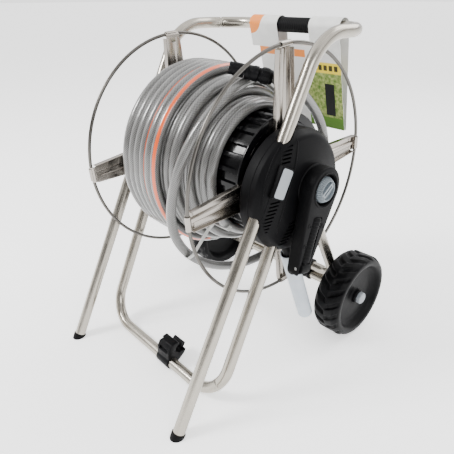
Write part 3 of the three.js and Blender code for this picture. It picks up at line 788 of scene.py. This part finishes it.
def makeClip():
    y, z = loopPoint(tubes["loop"]["bar"])[1:]
    x0, x1 = clip["x0"], clip["x1"]
    a = np.radians(np.linspace(132, 328, 24))  # from where the back blade ends round to where the jaw starts
    collar = np.stack([y + clip["collar"] * np.cos(a), z + clip["collar"] * np.sin(a)], -1)
    front = [
        (y + 13, z - 5), (y + 31, z + 8), (y + 41, z + 24), (y + 36, z + 29), (y + 26, z + 17),
        (y + 17, z + 16)
    ]
    back = [
        (y + 9, z + 24), (y + 12, z + 33), (y + 21, z + 38), (y + 17, z + 44), (y + 1, z + 42),
        (y - 8, z + 26), (y - 9, z + 13)
    ]
    outline = np.concatenate([bentPath(front + back, 2.5, 4), collar])
    body = soften(buildObject("snapClip", [slab(outline, x0, x1)]), 1.0)
    tools = [
        spun([(0, x0 - 4), (clip["bore"], x0 - 4), (clip["bore"], x1 + 4), (0, x1 + 4)], 48, (y, z)),
        block((13, 26, 30), (x1 - 2, y + 38, z + 30), 0),  # the front jaw is narrower on this end
        block((9, 40, 5), (x0, y + 8, z + 40), 0),
        block((x1 - x0 - 12, 8, 14), ((x0 + x1) / 2, y - 9, z + 30), 17),
    ]
    carve(body, tools)
    finishPiece(body, "frame", "clip_plastic", looks["clip"], "accessory_clip")


saddle = {"x": 95, "half": 11, "upper": 15, "lower": 14}


# Two round clamps, one on the loop's bar and one on the axle, joined by a waist
def makeSaddle(side):
    upper, lower = tubes["axleLoop"]["bar"], (tubes["axle"]["y"], tubes["axle"]["z"])
    x0, x1 = saddle["x"] - saddle["half"], saddle["x"] + saddle["half"]
    parts = []
    for (y, z), r, bore in ((upper, saddle["upper"], 11.2), (lower, saddle["lower"], 9.7)):
        line = [
            (bore, x0), (r, x0), (r, x0 + 5), (r - 1.2, x0 + 6.5), (r - 1.2, x1 - 6.5), (r, x1 - 5),
            (r, x1), (bore, x1)
        ]
        parts.append(spun(bentPath(line, 0.9, 4, closed=True), 48, (y, z), closed=True))
    name = "near" if side > 0 else "far"
    parts = parts if side > 0 else [acrossX(part) for part in parts]
    buildPiece(f"axleSaddle_{name}", parts, "frame", "clip_plastic", looks["clip"], f"axle_saddle_{name}")


makeGrip()
makeClip()
for side in (1, -1):
    makeFootCap(side)
    makeSaddle(side)
print("grip, caps, clip and saddles made")

# Wheels
wheel = {
    "radius": 92.5, "inner": 176, "outer": 238, "lugs": 20, "depth": 4.6,
    "profile": [  # radius and x: hub, dished face, lip, tread, lip, dished back, hub
        (9.8, 231.5), (15, 231.5), (15.5, 223), (21, 221), (62, 223), (68, 228), (74, 237), (80, 238),
        (86, 237),
        (92.5, 227), (92.5, 187), (86, 177), (77, 176), (72, 184), (66, 201), (20, 205), (17, 178),
        (9.8, 178),
    ],
    "rounds": [0.6, 1.5, 2, 3, 6, 9, 5, 9, 8, 10, 10, 8, 5, 5, 6, 3, 1, 0.6],
}


# Curved lugs: a square-edged wave round the tread whose phase shifts across the width, half a lug out of
# step from one side to the other. It fades out towards the bottom of each lip.
def lugged(radius, x, angle):
    middle, half = (wheel["inner"] + wheel["outer"]) / 2, (wheel["outer"] - wheel["inner"]) / 2
    across = (x - middle) / half
    reach = smooth(radius, 84.5, 91.5)
    sweep = 0.75 * np.abs(across) ** 1.5 + np.where(across > 0, 0.5, 0.0)
    wave = np.sin(wheel["lugs"] * angle + 2 * np.pi * sweep)
    groove = smooth(wave, 0.0, 0.75)
    spine = smooth(np.abs(across), 0.0, 0.2)
    return radius - wheel["depth"] * reach * groove * (0.25 + 0.75 * spine)


def makeWheel(side):
    line = evenly(bentPath(wheel["profile"], wheel["rounds"], 6, closed=True), 1.6)
    centre = (tubes["axle"]["y"], tubes["axle"]["z"])
    parts = [spun(line, 440, centre, closed=True, radial=lugged)]
    name = "near" if side > 0 else "far"
    parts = parts if side > 0 else [acrossX(part) for part in parts]
    buildPiece(
        f"tyre_{name}", parts, f"wheel_{name}", "tyre_plastic", looks["tyre"], f"wheel_{name}",
        sharpAngle=50
    )
    cap = bentPath(
        [(0, 238.3), (0.1, 242), (9.5, 241.8), (12.5, 240), (12.5, 232), (9.8, 232), (9.8, 238.3)], 0.9, 4
    )
    parts = [spun(np.concatenate([cap, [(0, 238.3)]]), 48, centre)]
    parts = parts if side > 0 else [acrossX(part) for part in parts]
    buildPiece(f"wheelCap_{name}", parts, "frame", "gray_plastic", looks["plate"], f"wheel_cap_{name}")


for side in (1, -1):
    makeWheel(side)
print("wheels made")

# Reel: drum, flange rings, spokes
reel = {
    "drum": {"radius": 110, "floor": 104.5, "half": 133, "ribs": 28},
    "ring": {"radius": 220, "wire": 3, "x": 144},
    "spoke": {
        "x": 137, "inner": 46, "outer": 213, "wide": 55, "narrow": 34, "fold": 10, "sheet": 1.6,
        "first": 4.5
    },
}


def makeDrum():
    drum = reel["drum"]

    def ribbed(radius, x, angle):
        share = (angle * drum["ribs"] / (2 * np.pi)) % 1
        rib = smooth(share, 0.5, 0.6) * (1 - smooth(share, 0.9, 1.0))
        return radius - np.where(radius > 103, (drum["radius"] - drum["floor"]) * (1 - rib), 0)

    line = bentPath([(110, -133), (110, 133), (101, 133), (101, -133)], 0.8, 3, closed=True)
    buildPiece(
        "drumBarrel", [spun(line, 560, closed=True, radial=ribbed)], "reel", "drum_plastic", looks["drum"],
        "drum_core"
    )
    for side in (1, -1):
        line = [
            (12.3, 112), (26, 112), (30, 133.3), (66, 133.3), (68, 134.6), (104, 134.6), (106, 133.3),
            (111.5, 133.3), (111.5, 136.7), (98, 136.7), (96, 135.6), (44, 135.6), (42, 136.7), (12.3, 136.7)
        ]
        parts = [spun(bentPath(line, 0.5, 3, closed=True), 96, closed=True)]
        parts = parts if side > 0 else [acrossX(part) for part in parts]
        name = "near" if side > 0 else "far"
        buildPiece(f"drumEnd_{name}", parts, "reel", "drum_plastic", looks["drum"], f"drum_end_{name}")


def makeRing(side):
    ring = reel["ring"]
    a = np.arange(240) / 240 * 2 * np.pi
    x = np.full(240, side * ring["x"])
    path = np.stack([x, ring["radius"] * np.cos(a), ring["radius"] * np.sin(a)], -1)
    name = "near" if side > 0 else "far"
    part = swept(path, ring["wire"], 14, closed=True)
    buildPiece(f"flangeRing_{name}", [part], "reel", "ring_wire", looks["wire"], f"flange_ring_{name}")


# The channel's cross-section tapers along the spoke and keeps its folded edges.
# The end is a strip that wraps the ring.
def makeSpoke(number, side):
    spoke, ring = reel["spoke"], reel["ring"]
    x, w, t, fold = spoke["x"], spoke["wide"] / 2, spoke["sheet"], spoke["fold"]
    face = [
        (x, -w), (x + fold, -w), (x + fold, t - w), (x + t, t - w), (x + t, -9), (x + 5.5, -5),
        (x + 5.5, 5), (x + t, 9), (x + t, w - t), (x + fold, w - t), (x + fold, w), (x, w),
        (x, 8), (x + 4, 4), (x + 4, -4), (x, -8),
    ]
    section = bentPath(face, [1.6, 0.3, 0.3, 1.4, 2, 2, 2, 2, 1.4, 0.3, 0.3, 1.6, 2, 2, 2, 2], 4, closed=True)
    share = np.linspace(0, 1, 30)[:, None]
    width = 1 + (spoke["narrow"] / spoke["wide"] - 1) * share
    radius = spoke["inner"] + (spoke["outer"] - spoke["inner"]) * share
    # the folded edges run out to nothing at the hub end
    low = smooth(share, 0, 0.1)
    depth = x + (section[None, :, 0] - x) * np.maximum(low, 0.35)
    channel = np.stack([depth, section[None, :, 1] * width, np.broadcast_to(radius, depth.shape)], -1)
    parts = [gridPart(channel, False, True, ends=True)]
    a = np.radians(np.linspace(-150, 160, 26))
    hook = [
        np.stack([ring["x"] + r * np.cos(s * a), ring["radius"] + r * np.sin(s * a)], -1) for r,
        s in ((4.9, 1), (3.5, -1))
    ]
    hook = np.concatenate([hook[0], hook[1]])
    strip = [np.stack([hook[:, 0], np.full(len(hook), y), hook[:, 1]], -1) for y in (-12, 12)]
    parts.append(gridPart(np.stack(strip), False, True, ends=True))
    shoulder = bentPath(
        [
            (x + 0.2, 205), (x + 0.2, 218.5), (x + 5.5, 223.3), (x + 5.5, 221.5), (x + 2.2, 216),
            (x + 2.2, 205)
        ],
        0.4, 3, closed=True
    )
    strip = [np.stack([shoulder[:, 0], np.full(len(shoulder), y), shoulder[:, 1]], -1) for y in (-15, 15)]
    parts.append(gridPart(np.stack(strip), False, True, ends=True))
    parts = [movedPart(part, lambda p: turned(p, spoke["first"] + 90 * number)) for part in parts]
    parts = parts if side > 0 else [acrossX(part) for part in parts]
    name = "near" if side > 0 else "far"
    buildPiece(
        f"spoke{number + 1}_{name}", parts, "reel", "spoke_steel", looks["spoke"],
        f"spoke_{number + 1}_{name}", sharpAngle=30
    )


# Screws that hold a spoke to the drum's end
def makeSpokeScrews(side):
    parts = []
    for number in range(4):
        for along, across in ((62, -16), (62, 16), (96, 0)):
            lift = 3.9 if across == 0 else 0
            head = bentPath(
                [(0, 137.6), (4.6, 137.6), (4.4, 139.6 + lift), (3, 140.8 + lift), (0, 141.2 + lift)], 0.8,
                4
            )
            screw = movedPart(spun(head, 20), lambda p: p + np.array([0, across, along]))
            parts.append(movedPart(screw, lambda p: turned(p, reel["spoke"]["first"] + 90 * number)))
    parts = parts if side > 0 else [acrossX(part) for part in parts]
    name = "near" if side > 0 else "far"
    buildPiece(f"spokeScrews_{name}", parts, "reel", "fastener_steel", looks["fastener"])


makeDrum()
for side in (1, -1):
    makeRing(side)
    makeSpokeScrews(side)
    for number in range(4):
        makeSpoke(number, side)
print("reel made")

# Side housings
housing = {
    "centre": (-14, -12), "radius": 107, "wall": 3, "back": 150, "split": 171.5,
    "dome": [(107, 171.9), (107, 181), (98, 194), (60, 202), (0, 204.5)],
    "screws": [(62, 32), (-12, 76), (14, -92)],
    "plate": (-77, 24), "plateX": 203.6, "plateSize": (26, 48),
    "lean": -27.0,
    "upperSlots": np.linspace(89, 54, 7), "lowerSlots": np.linspace(-6, -56, 9),
    "sideSlots": np.linspace(-54, -92, 7),
}


def domeLine():
    return bentPath(housing["dome"], [6, 14, 40], 10)


# Height of the dome's skin over a place (y, z)
def domeHeight(y, z):
    line = domeLine()
    r = np.hypot(np.asarray(y) - housing["centre"][0], np.asarray(z) - housing["centre"][1])
    return np.interp(r, line[::-1, 0], line[::-1, 1])


def tubeTools(reach=12.2):
    axleLoop = tubes["axleLoop"]
    top, bar = (np.array([axleLoop["x"], *axleLoop[end]], float) for end in ("top", "bar"))
    runs = [
        (legPoint(-170), legPoint(170)), (loopPoint(-185), loopPoint(-14)),
        (top + (top - bar) * 0.02, top + (bar - top) * 0.6)
    ]
    return [
        turnedBar(
            a, b - a, [(0, 0), (0, reach), (np.linalg.norm(b - a), reach), (np.linalg.norm(b - a), 0)], 32
        )
        for a, b in runs
    ]


# A slot with round ends, cut straight in along X
def slotTool(yLeft, yRight, z, height, x0=192, x1=215, rise=0.0):
    a = np.radians(np.linspace(90, 270, 7))
    left = np.stack([yLeft + height / 2 * np.cos(a), z + height / 2 * np.sin(a)], -1)
    right = np.stack([yRight - height / 2 * np.cos(a), z + rise - height / 2 * np.sin(a)], -1)
    return slab(np.concatenate([left, right]), x0, x1)


# A crease or ridge that follows the dome over a curve of (y, z) points, thin at both ends
def ridge(points, radius, sink=0.4):
    line = curveThrough(points, 10)
    x = domeHeight(line[:, 0], line[:, 1]) - sink * radius
    share = np.linspace(0, 1, len(line))
    taper = radius * np.sqrt(np.clip(4 * share * (1 - share), 0.02, 1)) ** 0.5
    return swept(np.stack([x, line[:, 0], line[:, 1]], -1), taper, 12, (0.99, 0.1, 0.1))


def makeCover(side):
    name = "near" if side > 0 else "far"
    wall = housing["wall"]
    outer = domeLine()
    rim = (housing["radius"] - wall, housing["dome"][0][1])
    inner = np.maximum(outer - (wall, wall), (0, rim[1]))[1:]
    skin = np.concatenate([outer[::-1], [rim], inner])
    piece = buildObject(f"housingCover_{name}", [spun(skin, 160, housing["centre"])])
    plateY, plateZ = housing["plate"]
    slots = []
    for z in housing["upperSlots"]:
        left = -61 + (z - 92) * 0.385
        slots.append(slotTool(left + 3, left + 19, z, 2.8))
    for z in housing["lowerSlots"]:
        left = -61 + (z - 92) * 0.385
        slots.append(slotTool(left + 3, left + 19, z, 2.8))
    for z in housing["sideSlots"]:
        left = -51 + (z + 54) * 0.42
        slots.append(slotTool(left, left + 17, z, 2.8, 182))
    width, height = housing["plateSize"]
    pocket = block(
        (10, width + 0.8, height + 0.8), (housing["plateX"] + 3.2, plateY, plateZ), housing["lean"]
    )
    shaft = spun([(0, 150), (14, 150), (14, 220 if side > 0 else 200), (0, 220 if side > 0 else 200)], 40)
    carve(piece, [*slots, pocket, shaft, *tubeTools()])
    pad = soften(
        buildObject(
            "pad",
            [block((9, width + 5, height + 5), (housing["plateX"] - 2.9, plateY, plateZ), housing["lean"])]
        ),
        1.6
    )
    hub = [(14, 198), (34, 198), (38, 201), (38, 204.5), (36, 206.5), (14, 206.5)]
    trims = [
        spun(bentPath(hub, 0.8, 5, closed=True), 72, closed=True),
        ridge([(-58, 84), (-84, 62), (-104, 30), (-111, -6), (-106, -40)], 1.9),
        ridge([(-34, 86), (-42, 56), (-56, 22), (-68, -10), (-77, -46), (-78, -66)], 2.4),
        ridge([(-62, 88), (-79, 50), (-97, 10), (-111, -30), (-114, -46)], 1.0),
    ]
    features = buildObject("features", trims)
    joined = joinPieces(piece, [features, pad])
    if side < 0:
        joined.data.transform(Matrix.Scale(-1, 4, (1, 0, 0)))
        joined.data.flip_normals()
    finishPiece(joined, "frame", "housing_plastic", looks["housing"], f"housing_cover_{name}")


# Puts the other objects' meshes into the first one
def joinPieces(first, others):
    joined = bmesh.new()
    for piece in [first, *others]:
        joined.from_mesh(piece.data)
    joined.to_mesh(first.data)
    joined.free()
    for piece in others:
        bpy.data.objects.remove(piece)
    first.data.shade_smooth()
    first.data.set_sharp_from_angle(angle=np.radians(34))
    return first


def makeBack(side):
    name = "near" if side > 0 else "far"
    back, split, r, wall = housing["back"], housing["split"], housing["radius"], housing["wall"]
    line = [
        (0, back), (r - 3, back), (r, back + 3), (r, split), (r - wall, split), (r - wall, back + 2.5),
        (0, back + 2.5)
    ]
    line = np.concatenate([[line[0]], bentPath(line[1:-1], 2, 5), [line[-1]]])
    piece = buildObject(f"housingBack_{name}", [spun(line, 160, housing["centre"])])
    boss = [spun([(16.5, back + 1), (23, back + 1), (23, 166), (16.5, 166)], 48, closed=True)]
    ribs = [
        block(
            (9, 2, 78), (back + 6, *(np.array(housing["centre"]) + 60 * unit([np.cos(a), np.sin(a)]))),
            np.degrees(a) + 90
        )
        for a in np.radians([20, 80, 140, 200, 260, 320])
    ]
    tools = [spun([(0, back - 5), (17.3, back - 5), (17.3, 180), (0, 180)], 40)]
    for y, z in housing["screws"]:
        tools.append(spun([(0, back - 5), (4.6, back - 5), (4.6, back + 4.6), (0, back + 4.6)], 24, (y, z)))
    carve(piece, [*tools, *tubeTools()])
    joined = joinPieces(piece, [buildObject("inside", [*boss, *ribs])])
    if side < 0:
        joined.data.transform(Matrix.Scale(-1, 4, (1, 0, 0)))
        joined.data.flip_normals()
    finishPiece(joined, "frame", "housing_plastic", looks["housing"], f"housing_back_{name}")


def makePlate(side):
    name = "near" if side > 0 else "far"
    width, height = housing["plateSize"]
    corners = [
        (-width / 2, -height / 2), (width / 2, -height / 2), (width / 2, height / 2),
        (-width / 2, height / 2)
    ]
    outline = bentPath(corners, 4, 6, closed=True)
    part = slab(outline, housing["plateX"] + 0.3, housing["plateX"] + 2)
    part = movedPart(part, lambda p: turned(p, housing["lean"]) + np.array([0, *housing["plate"]]))
    piece = soften(buildObject(f"coverPlate_{name}", [part if side > 0 else acrossX(part)]), 0.5)
    finishPiece(piece, "frame", "gray_plastic", looks["plate"], f"cover_plate_{name}")


for side in (1, -1):
    makeCover(side)
    makeBack(side)
    makePlate(side)
print("housings made")

# Inlet connector and its sleeve
inlet = {"top": (180, -23, -129.4), "end": (180, 47, -300), "radius": 15, "wall": 1.6}


def makeInlet():
    top, end = np.array(inlet["top"]), np.array(inlet["end"])
    run, length = unit(end - top), np.linalg.norm(end - top)
    line = [(-34, 6), (-34, 9.5), (1, 9.5), (2, 12.6), (14, 13), (15, 9.5), (24, 9.5), (26, 8.5), (26, 6)]
    parts = [turnedBar(top, run, bentPath(line, 0.6, 4, closed=True), 40, closed=True)]
    buildPiece("inletConnector", parts, "frame", "clip_plastic", looks["clip"], "inlet_connector")
    r, wall = inlet["radius"], inlet["wall"]
    line = [
        (0, r - wall), (0, r - 0.6), (4, r), (length - 5, r), (length, r), (length, r - wall),
        (length - 4, r - wall), (4, r - wall)
    ]
    parts = [turnedBar(top, run, bentPath(line, 0.5, 4, closed=True), 48, closed=True)]
    buildPiece("inletSleeve", parts, "frame", "sleeve_plastic", looks["sleeve"], "inlet_sleeve")


makeInlet()
print("inlet made")

# Crank: made hanging straight down, then leaned forward
crank = {
    "lean": -17.5, "back": 208, "face": 232, "length": 140, "head": 39, "tail": 18, "pivot": 226,
    "recess": 28, "slot": (13, -46, -166), "gripRadius": 11, "knobRadius": 22.5, "teeth": 36,
}


def crankOutline(grow=0.0):
    head, tail, length = crank["head"] + grow, crank["tail"] + grow, crank["length"]
    tangent = np.arcsin((head - tail) / length)
    a = np.linspace(-tangent, np.pi + tangent, 40)
    b = np.linspace(np.pi + tangent, 2 * np.pi - tangent, 24)
    upper = np.stack([head * np.cos(a), head * np.sin(a)], -1)
    lower = np.stack([tail * np.cos(b), tail * np.sin(b) - length], -1)
    return np.concatenate([upper, lower])


def leaned(part):
    return movedPart(part, lambda p: turned(p, crank["lean"]))


def makeCrankArm():
    back, face = crank["back"], crank["face"]
    halfSlot, slotTop, slotEnd = crank["slot"]
    arm = soften(buildObject("crankArm", [leaned(slab(crankOutline(), back, face))]), 3.2, 4, 60)
    slot = bentPath(
        [(-halfSlot, slotTop), (halfSlot, slotTop), (halfSlot, slotEnd), (-halfSlot, slotEnd)], 5, 6,
        closed=True
    )
    pin = turnedBar(
        (crank["pivot"], -30, -crank["length"]), (0, 1, 0), [(0, 0), (0, 3.2), (60, 3.2), (60, 0)], 24
    )
    tools = [
        spun([(0, back - 5), (12.3, back - 5), (12.3, 221.5), (0, 221.5)], 40),
        spun(
            bentPath(
                [(0, face - 9), (crank["recess"] - 2, face - 9), (crank["recess"], face + 5), (0, face + 5)],
                1, 4
            ),
            64
        ),
        spun([(0, back), (6.4, back), (6.4, face + 5), (0, face + 5)], 32),
        slab(slot, 213.5, face + 5),
        pin,
    ]
    carve(arm, [leaned(tool) for tool in tools])
    rim = bentPath(
        [(28.2, face - 2), (28.6, face + 1.2), (30.4, face + 1.2), (31.6, face - 2)], 0.6, 4, closed=True
    )
    bosses = [spun(rim, 80, closed=True)]
    for y, z, r in ((-19, -62, 2.6), (-17, -98, 2.6), (19, -62, 2.6)):
        bosses.append(
            spun(
                bentPath(
                    [(r + 2.4, face - 1), (r + 1.6, face + 0.7), (r + 0.4, face + 0.7), (r - 0.4, face - 1)],
                    0.3, 3, closed=True
                ),
                32, (y, z), closed=True
            )
        )
    arm = joinPieces(arm, [buildObject("armTrim", [leaned(part) for part in bosses])])
    finishPiece(arm, "reel", "housing_plastic", looks["housing"], "crank_arm")


# The knob's rim is a fine wave of teeth; two slots leave a bar across its face
def makeKnob():
    radius, teeth = crank["knobRadius"], crank["teeth"]

    def toothed(r, x, angle):
        edge = smooth(r, radius - 6.2, radius - 4.4) * (x > 225)
        return r - edge * 1.5 * (0.5 - 0.5 * np.cos(teeth * angle)) ** 1.2

    line = [
        (0, 223.8), (18, 223.8), (radius, 225), (radius, 229.5), (radius - 4.6, 236.6), (radius - 6.6, 237),
        (radius - 7.6, 231.6), (0, 231.2),
    ]
    fine = evenly(bentPath(line, 0.8, 4), 0.5)
    knob = buildObject(
        "hubKnob", [leaned(spun(np.concatenate([fine[:-1], [(0, 231.2)]]), 432, radial=toothed))]
    )
    halfBar = [(-14.4, -5.2), (14.4, -5.2), (14.4, 5.2), (-14.4, 5.2)]
    halfSlot = [(-11, -1.5), (11, -1.5), (11, 1.5), (-11, 1.5)]
    bar, slot = (
        movedPart(slab(bentPath(line, 1.2, 4, closed=True), x0, x1), lambda p: turned(p, 52 + crank["lean"]))
        for line, x0, x1 in ((halfBar, 230, 236.3), (halfSlot, 233.6, 242))
    )
    crossbar = carve(buildObject("crossbar", [bar]), [slot])
    knob = joinPieces(knob, [crossbar])
    stem = leaned(spun([(0, 222), (6, 222), (6, 224.2), (0, 224.2)], 32))
    knob = joinPieces(knob, [buildObject("stem", [stem])])
    finishPiece(knob, "hub_knob", "gray_plastic", looks["knob"], "crank_hub_knob")


def makeCrankGrip():
    pivot, length = crank["pivot"], crank["length"]
    eye = bentPath([(-12, 3.3), (-12, 10.5), (12, 10.5), (12, 3.3)], 1.2, 4, closed=True)
    yoke = [
        leaned(turnedBar((pivot, 0, -length), (0, 1, 0), eye, 40, closed=True)),
        leaned(
            turnedBar(
                (pivot, 0, -length), (0, 0, 1),
                [(7, 0), (7, 6.5), (11, 6.2), (12, 5), (90.5, 5), (91.5, 4), (91.8, 0)], 32
            )
        ),
    ]
    buildPiece("gripYoke", yoke, "grip_arm", "housing_plastic", looks["housing"], "grip_yoke")
    low, high = 12.2 - length, -46.5
    z = np.linspace(low + 4, high - 6, 160)
    waist = 1.1 * np.sin(np.pi * (z - z[0]) / (z[-1] - z[0]))
    rings = 0.5 * smooth(np.cos(2 * np.pi * (z - z[0]) / 6.2), 0.2, 0.9)
    skin = np.stack([z, crank["gripRadius"] - waist - rings], -1)
    line = np.concatenate(
        [
            [(low, 5.4), (low, 9.2), (low + 1.2, 10.4)], skin,
            [(high - 2, 10.2), (high, 8), (high + 0.7, 5), (high + 0.8, 0)]
        ]
    )
    inner = [(high - 1.2, 0), (high - 1.2, 5.4), (low, 5.4)]
    body = turnedBar((pivot, 0, 0), (0, 0, 1), np.concatenate([line, inner]), 40)
    buildPiece("crankGrip", [leaned(body)], "crank_grip", "grip_rubber", looks["rubber"], "crank_grip")


makeCrankArm()
makeKnob()
makeCrankGrip()
print("crank made")

# Hang tag: a printed card folded over the grip
tag = {
    "x0": -98, "x1": 122, "arch": 16.8, "card": 0.9,
    "lower": (209, 38), "lowerBack": (216, 38), "window": (-25, 55), "windowBottom": 198,
    "notch": -78, "notchTop": 190,
}


# Runs up the card's front, over the grip and down its back, as (y, z) points a few millimetres apart
def tagLine():
    y, z, arch = tubes["handle"]["y"], tubes["handle"]["z"], tag["arch"] - 0.5
    a = np.linspace(np.pi, 0, 24)
    over = np.stack([y + arch * np.cos(a), z + arch * np.sin(a)], -1)
    front = np.array([tag["lower"], (y - arch, z)], float) + [[0.5, 0.6], [0, 0]]
    back = np.array([(y + arch, z), tag["lowerBack"]], float) + [[0, 0], [-0.5, 0.6]]
    return front, over, back


def makeTag():
    front, over, back = tagLine()
    down = evenly(front, 2.0)
    line = np.concatenate([down[:-1], over, evenly(back, 2.0)[1:]])
    columns = np.arange(tag["x0"], tag["x1"] + 0.1, 2.0)
    x, y = np.meshgrid(columns, line[:, 0])
    z = np.broadcast_to(line[:, 1:], y.shape)
    points = np.stack([x, y, z], -1)
    part = gridPart(points)
    isFront = np.arange(len(line)) < len(down)
    middle = points.reshape(-1, 3)[np.array(part[1])].mean(1)
    inWindow = (middle[:, 0] > tag["window"][0]) & (middle[:, 0] < tag["window"][1]) & (
        middle[:, 2] > tag["windowBottom"]
    )
    inNotch = (middle[:, 0] < tag["notch"]) & (middle[:, 2] < tag["notchTop"])
    keep = ~(inWindow | inNotch)
    faces = [face for face, kept in zip(part[1], keep) if kept]
    uvs = part[2].reshape(-1, 4, 2)[keep]
    # texture coordinates are millimetres on the card: x, and height, with the back's heights below zero
    height = np.where(isFront[:, None] | (y < tubes["handle"]["y"]), z, -z)
    flat = np.stack([x, height], -1).reshape(-1, 2) * mm
    uvs = flat[np.array(faces)]
    piece = buildObject("hangTag", [(points.reshape(-1, 3), faces, uvs.reshape(-1, 2))])
    thick = piece.modifiers.new("card", "SOLIDIFY")
    thick.thickness = tag["card"] * mm
    thick.offset = 0
    settle(piece)
    finishPiece(piece, "frame", "printed_card", cardLook(), "hang_tag")


# Flat printed areas on a pale card, each between limits in millimetres of x and height
def cardLook():
    look, tree, shader = newLook("printed card", Specular_IOR_Level=0.35)
    u, v = addNode(tree, "SeparateXYZ", addNode(tree, "UVMap", uv_map="run").outputs[0]).outputs[:2]

    def inside(value, low, high):
        return sums(
            tree, "MULTIPLY", sums(tree, "GREATER_THAN", value, low * mm),
            sums(tree, "LESS_THAN", value, high * mm)
        )

    def area(x0, x1, z0, z1):
        return sums(tree, "MULTIPLY", inside(u, x0, x1), inside(v, z0, z1))

    def disc(x, z, radius, flatten=1.0):
        du = sums(tree, "SUBTRACT", u, x * mm)
        dv = sums(tree, "MULTIPLY", sums(tree, "SUBTRACT", v, z * mm), flatten)
        away = sums(
            tree, "SQRT", sums(tree, "ADD", sums(tree, "MULTIPLY", du, du), sums(tree, "MULTIPLY", dv, dv))
        )
        return sums(tree, "LESS_THAN", away, radius * mm)

    leaves = grain(tree, 0.006, 5)
    colour = mixColour(
        tree, rescale(tree, grain(tree, 0.02, 2), 0, 1), (0.70, 0.70, 0.68), (0.78, 0.78, 0.76)
    )
    meadow = mixColour(tree, rescale(tree, leaves, 0, 1), (0.06, 0.14, 0.02), (0.42, 0.47, 0.16))
    colour = mixColour(tree, area(40, 122, 38, 150), colour, meadow)
    colour = mixColour(tree, area(40, 122, 38, 62), colour, (0.10, 0.22, 0.03))
    colour = mixColour(tree, area(40, 122, 150, 170), colour, (0.80, 0.62, 0.05))
    for i in range(6):
        colour = mixColour(tree, area(46 + 12 * i, 54 + 12 * i, 155, 165), colour, (0.05, 0.045, 0.02))
    colour = mixColour(tree, disc(-98, 246, 32), colour, (0.83, 0.24, 0.03))
    colour = mixColour(tree, area(-98, 40, 176, 190), colour, (0.80, 0.25, 0.05))
    colour = mixColour(tree, area(82, 104, 66, 130), colour, (0.012, 0.012, 0.012))
    tree.links.new(colour, shader.inputs["Base Color"])
    tree.links.new(rescale(tree, leaves, 0.42, 0.55), shader.inputs["Roughness"])
    raiseBy(tree, shader, grain(tree, 0.001, 2), 0.08, 0.0001)
    return look


makeTag()
print("tag made")

# CAD nodes that stay as they are get their materials
keptLooks = {
    "shaft_bush": "knob", "reel_shaft": "drum", "grip_pivot_pin": "fastener", "coil_strap": "tie",
    "housing_screw": "fastener"
}
for nodeName, node in nodes.items():
    for start, lookName in keptLooks.items():
        if nodeName.startswith(start):
            node.data.materials.clear()
            node.data.materials.append(looks[lookName])
print("kept nodes finished")
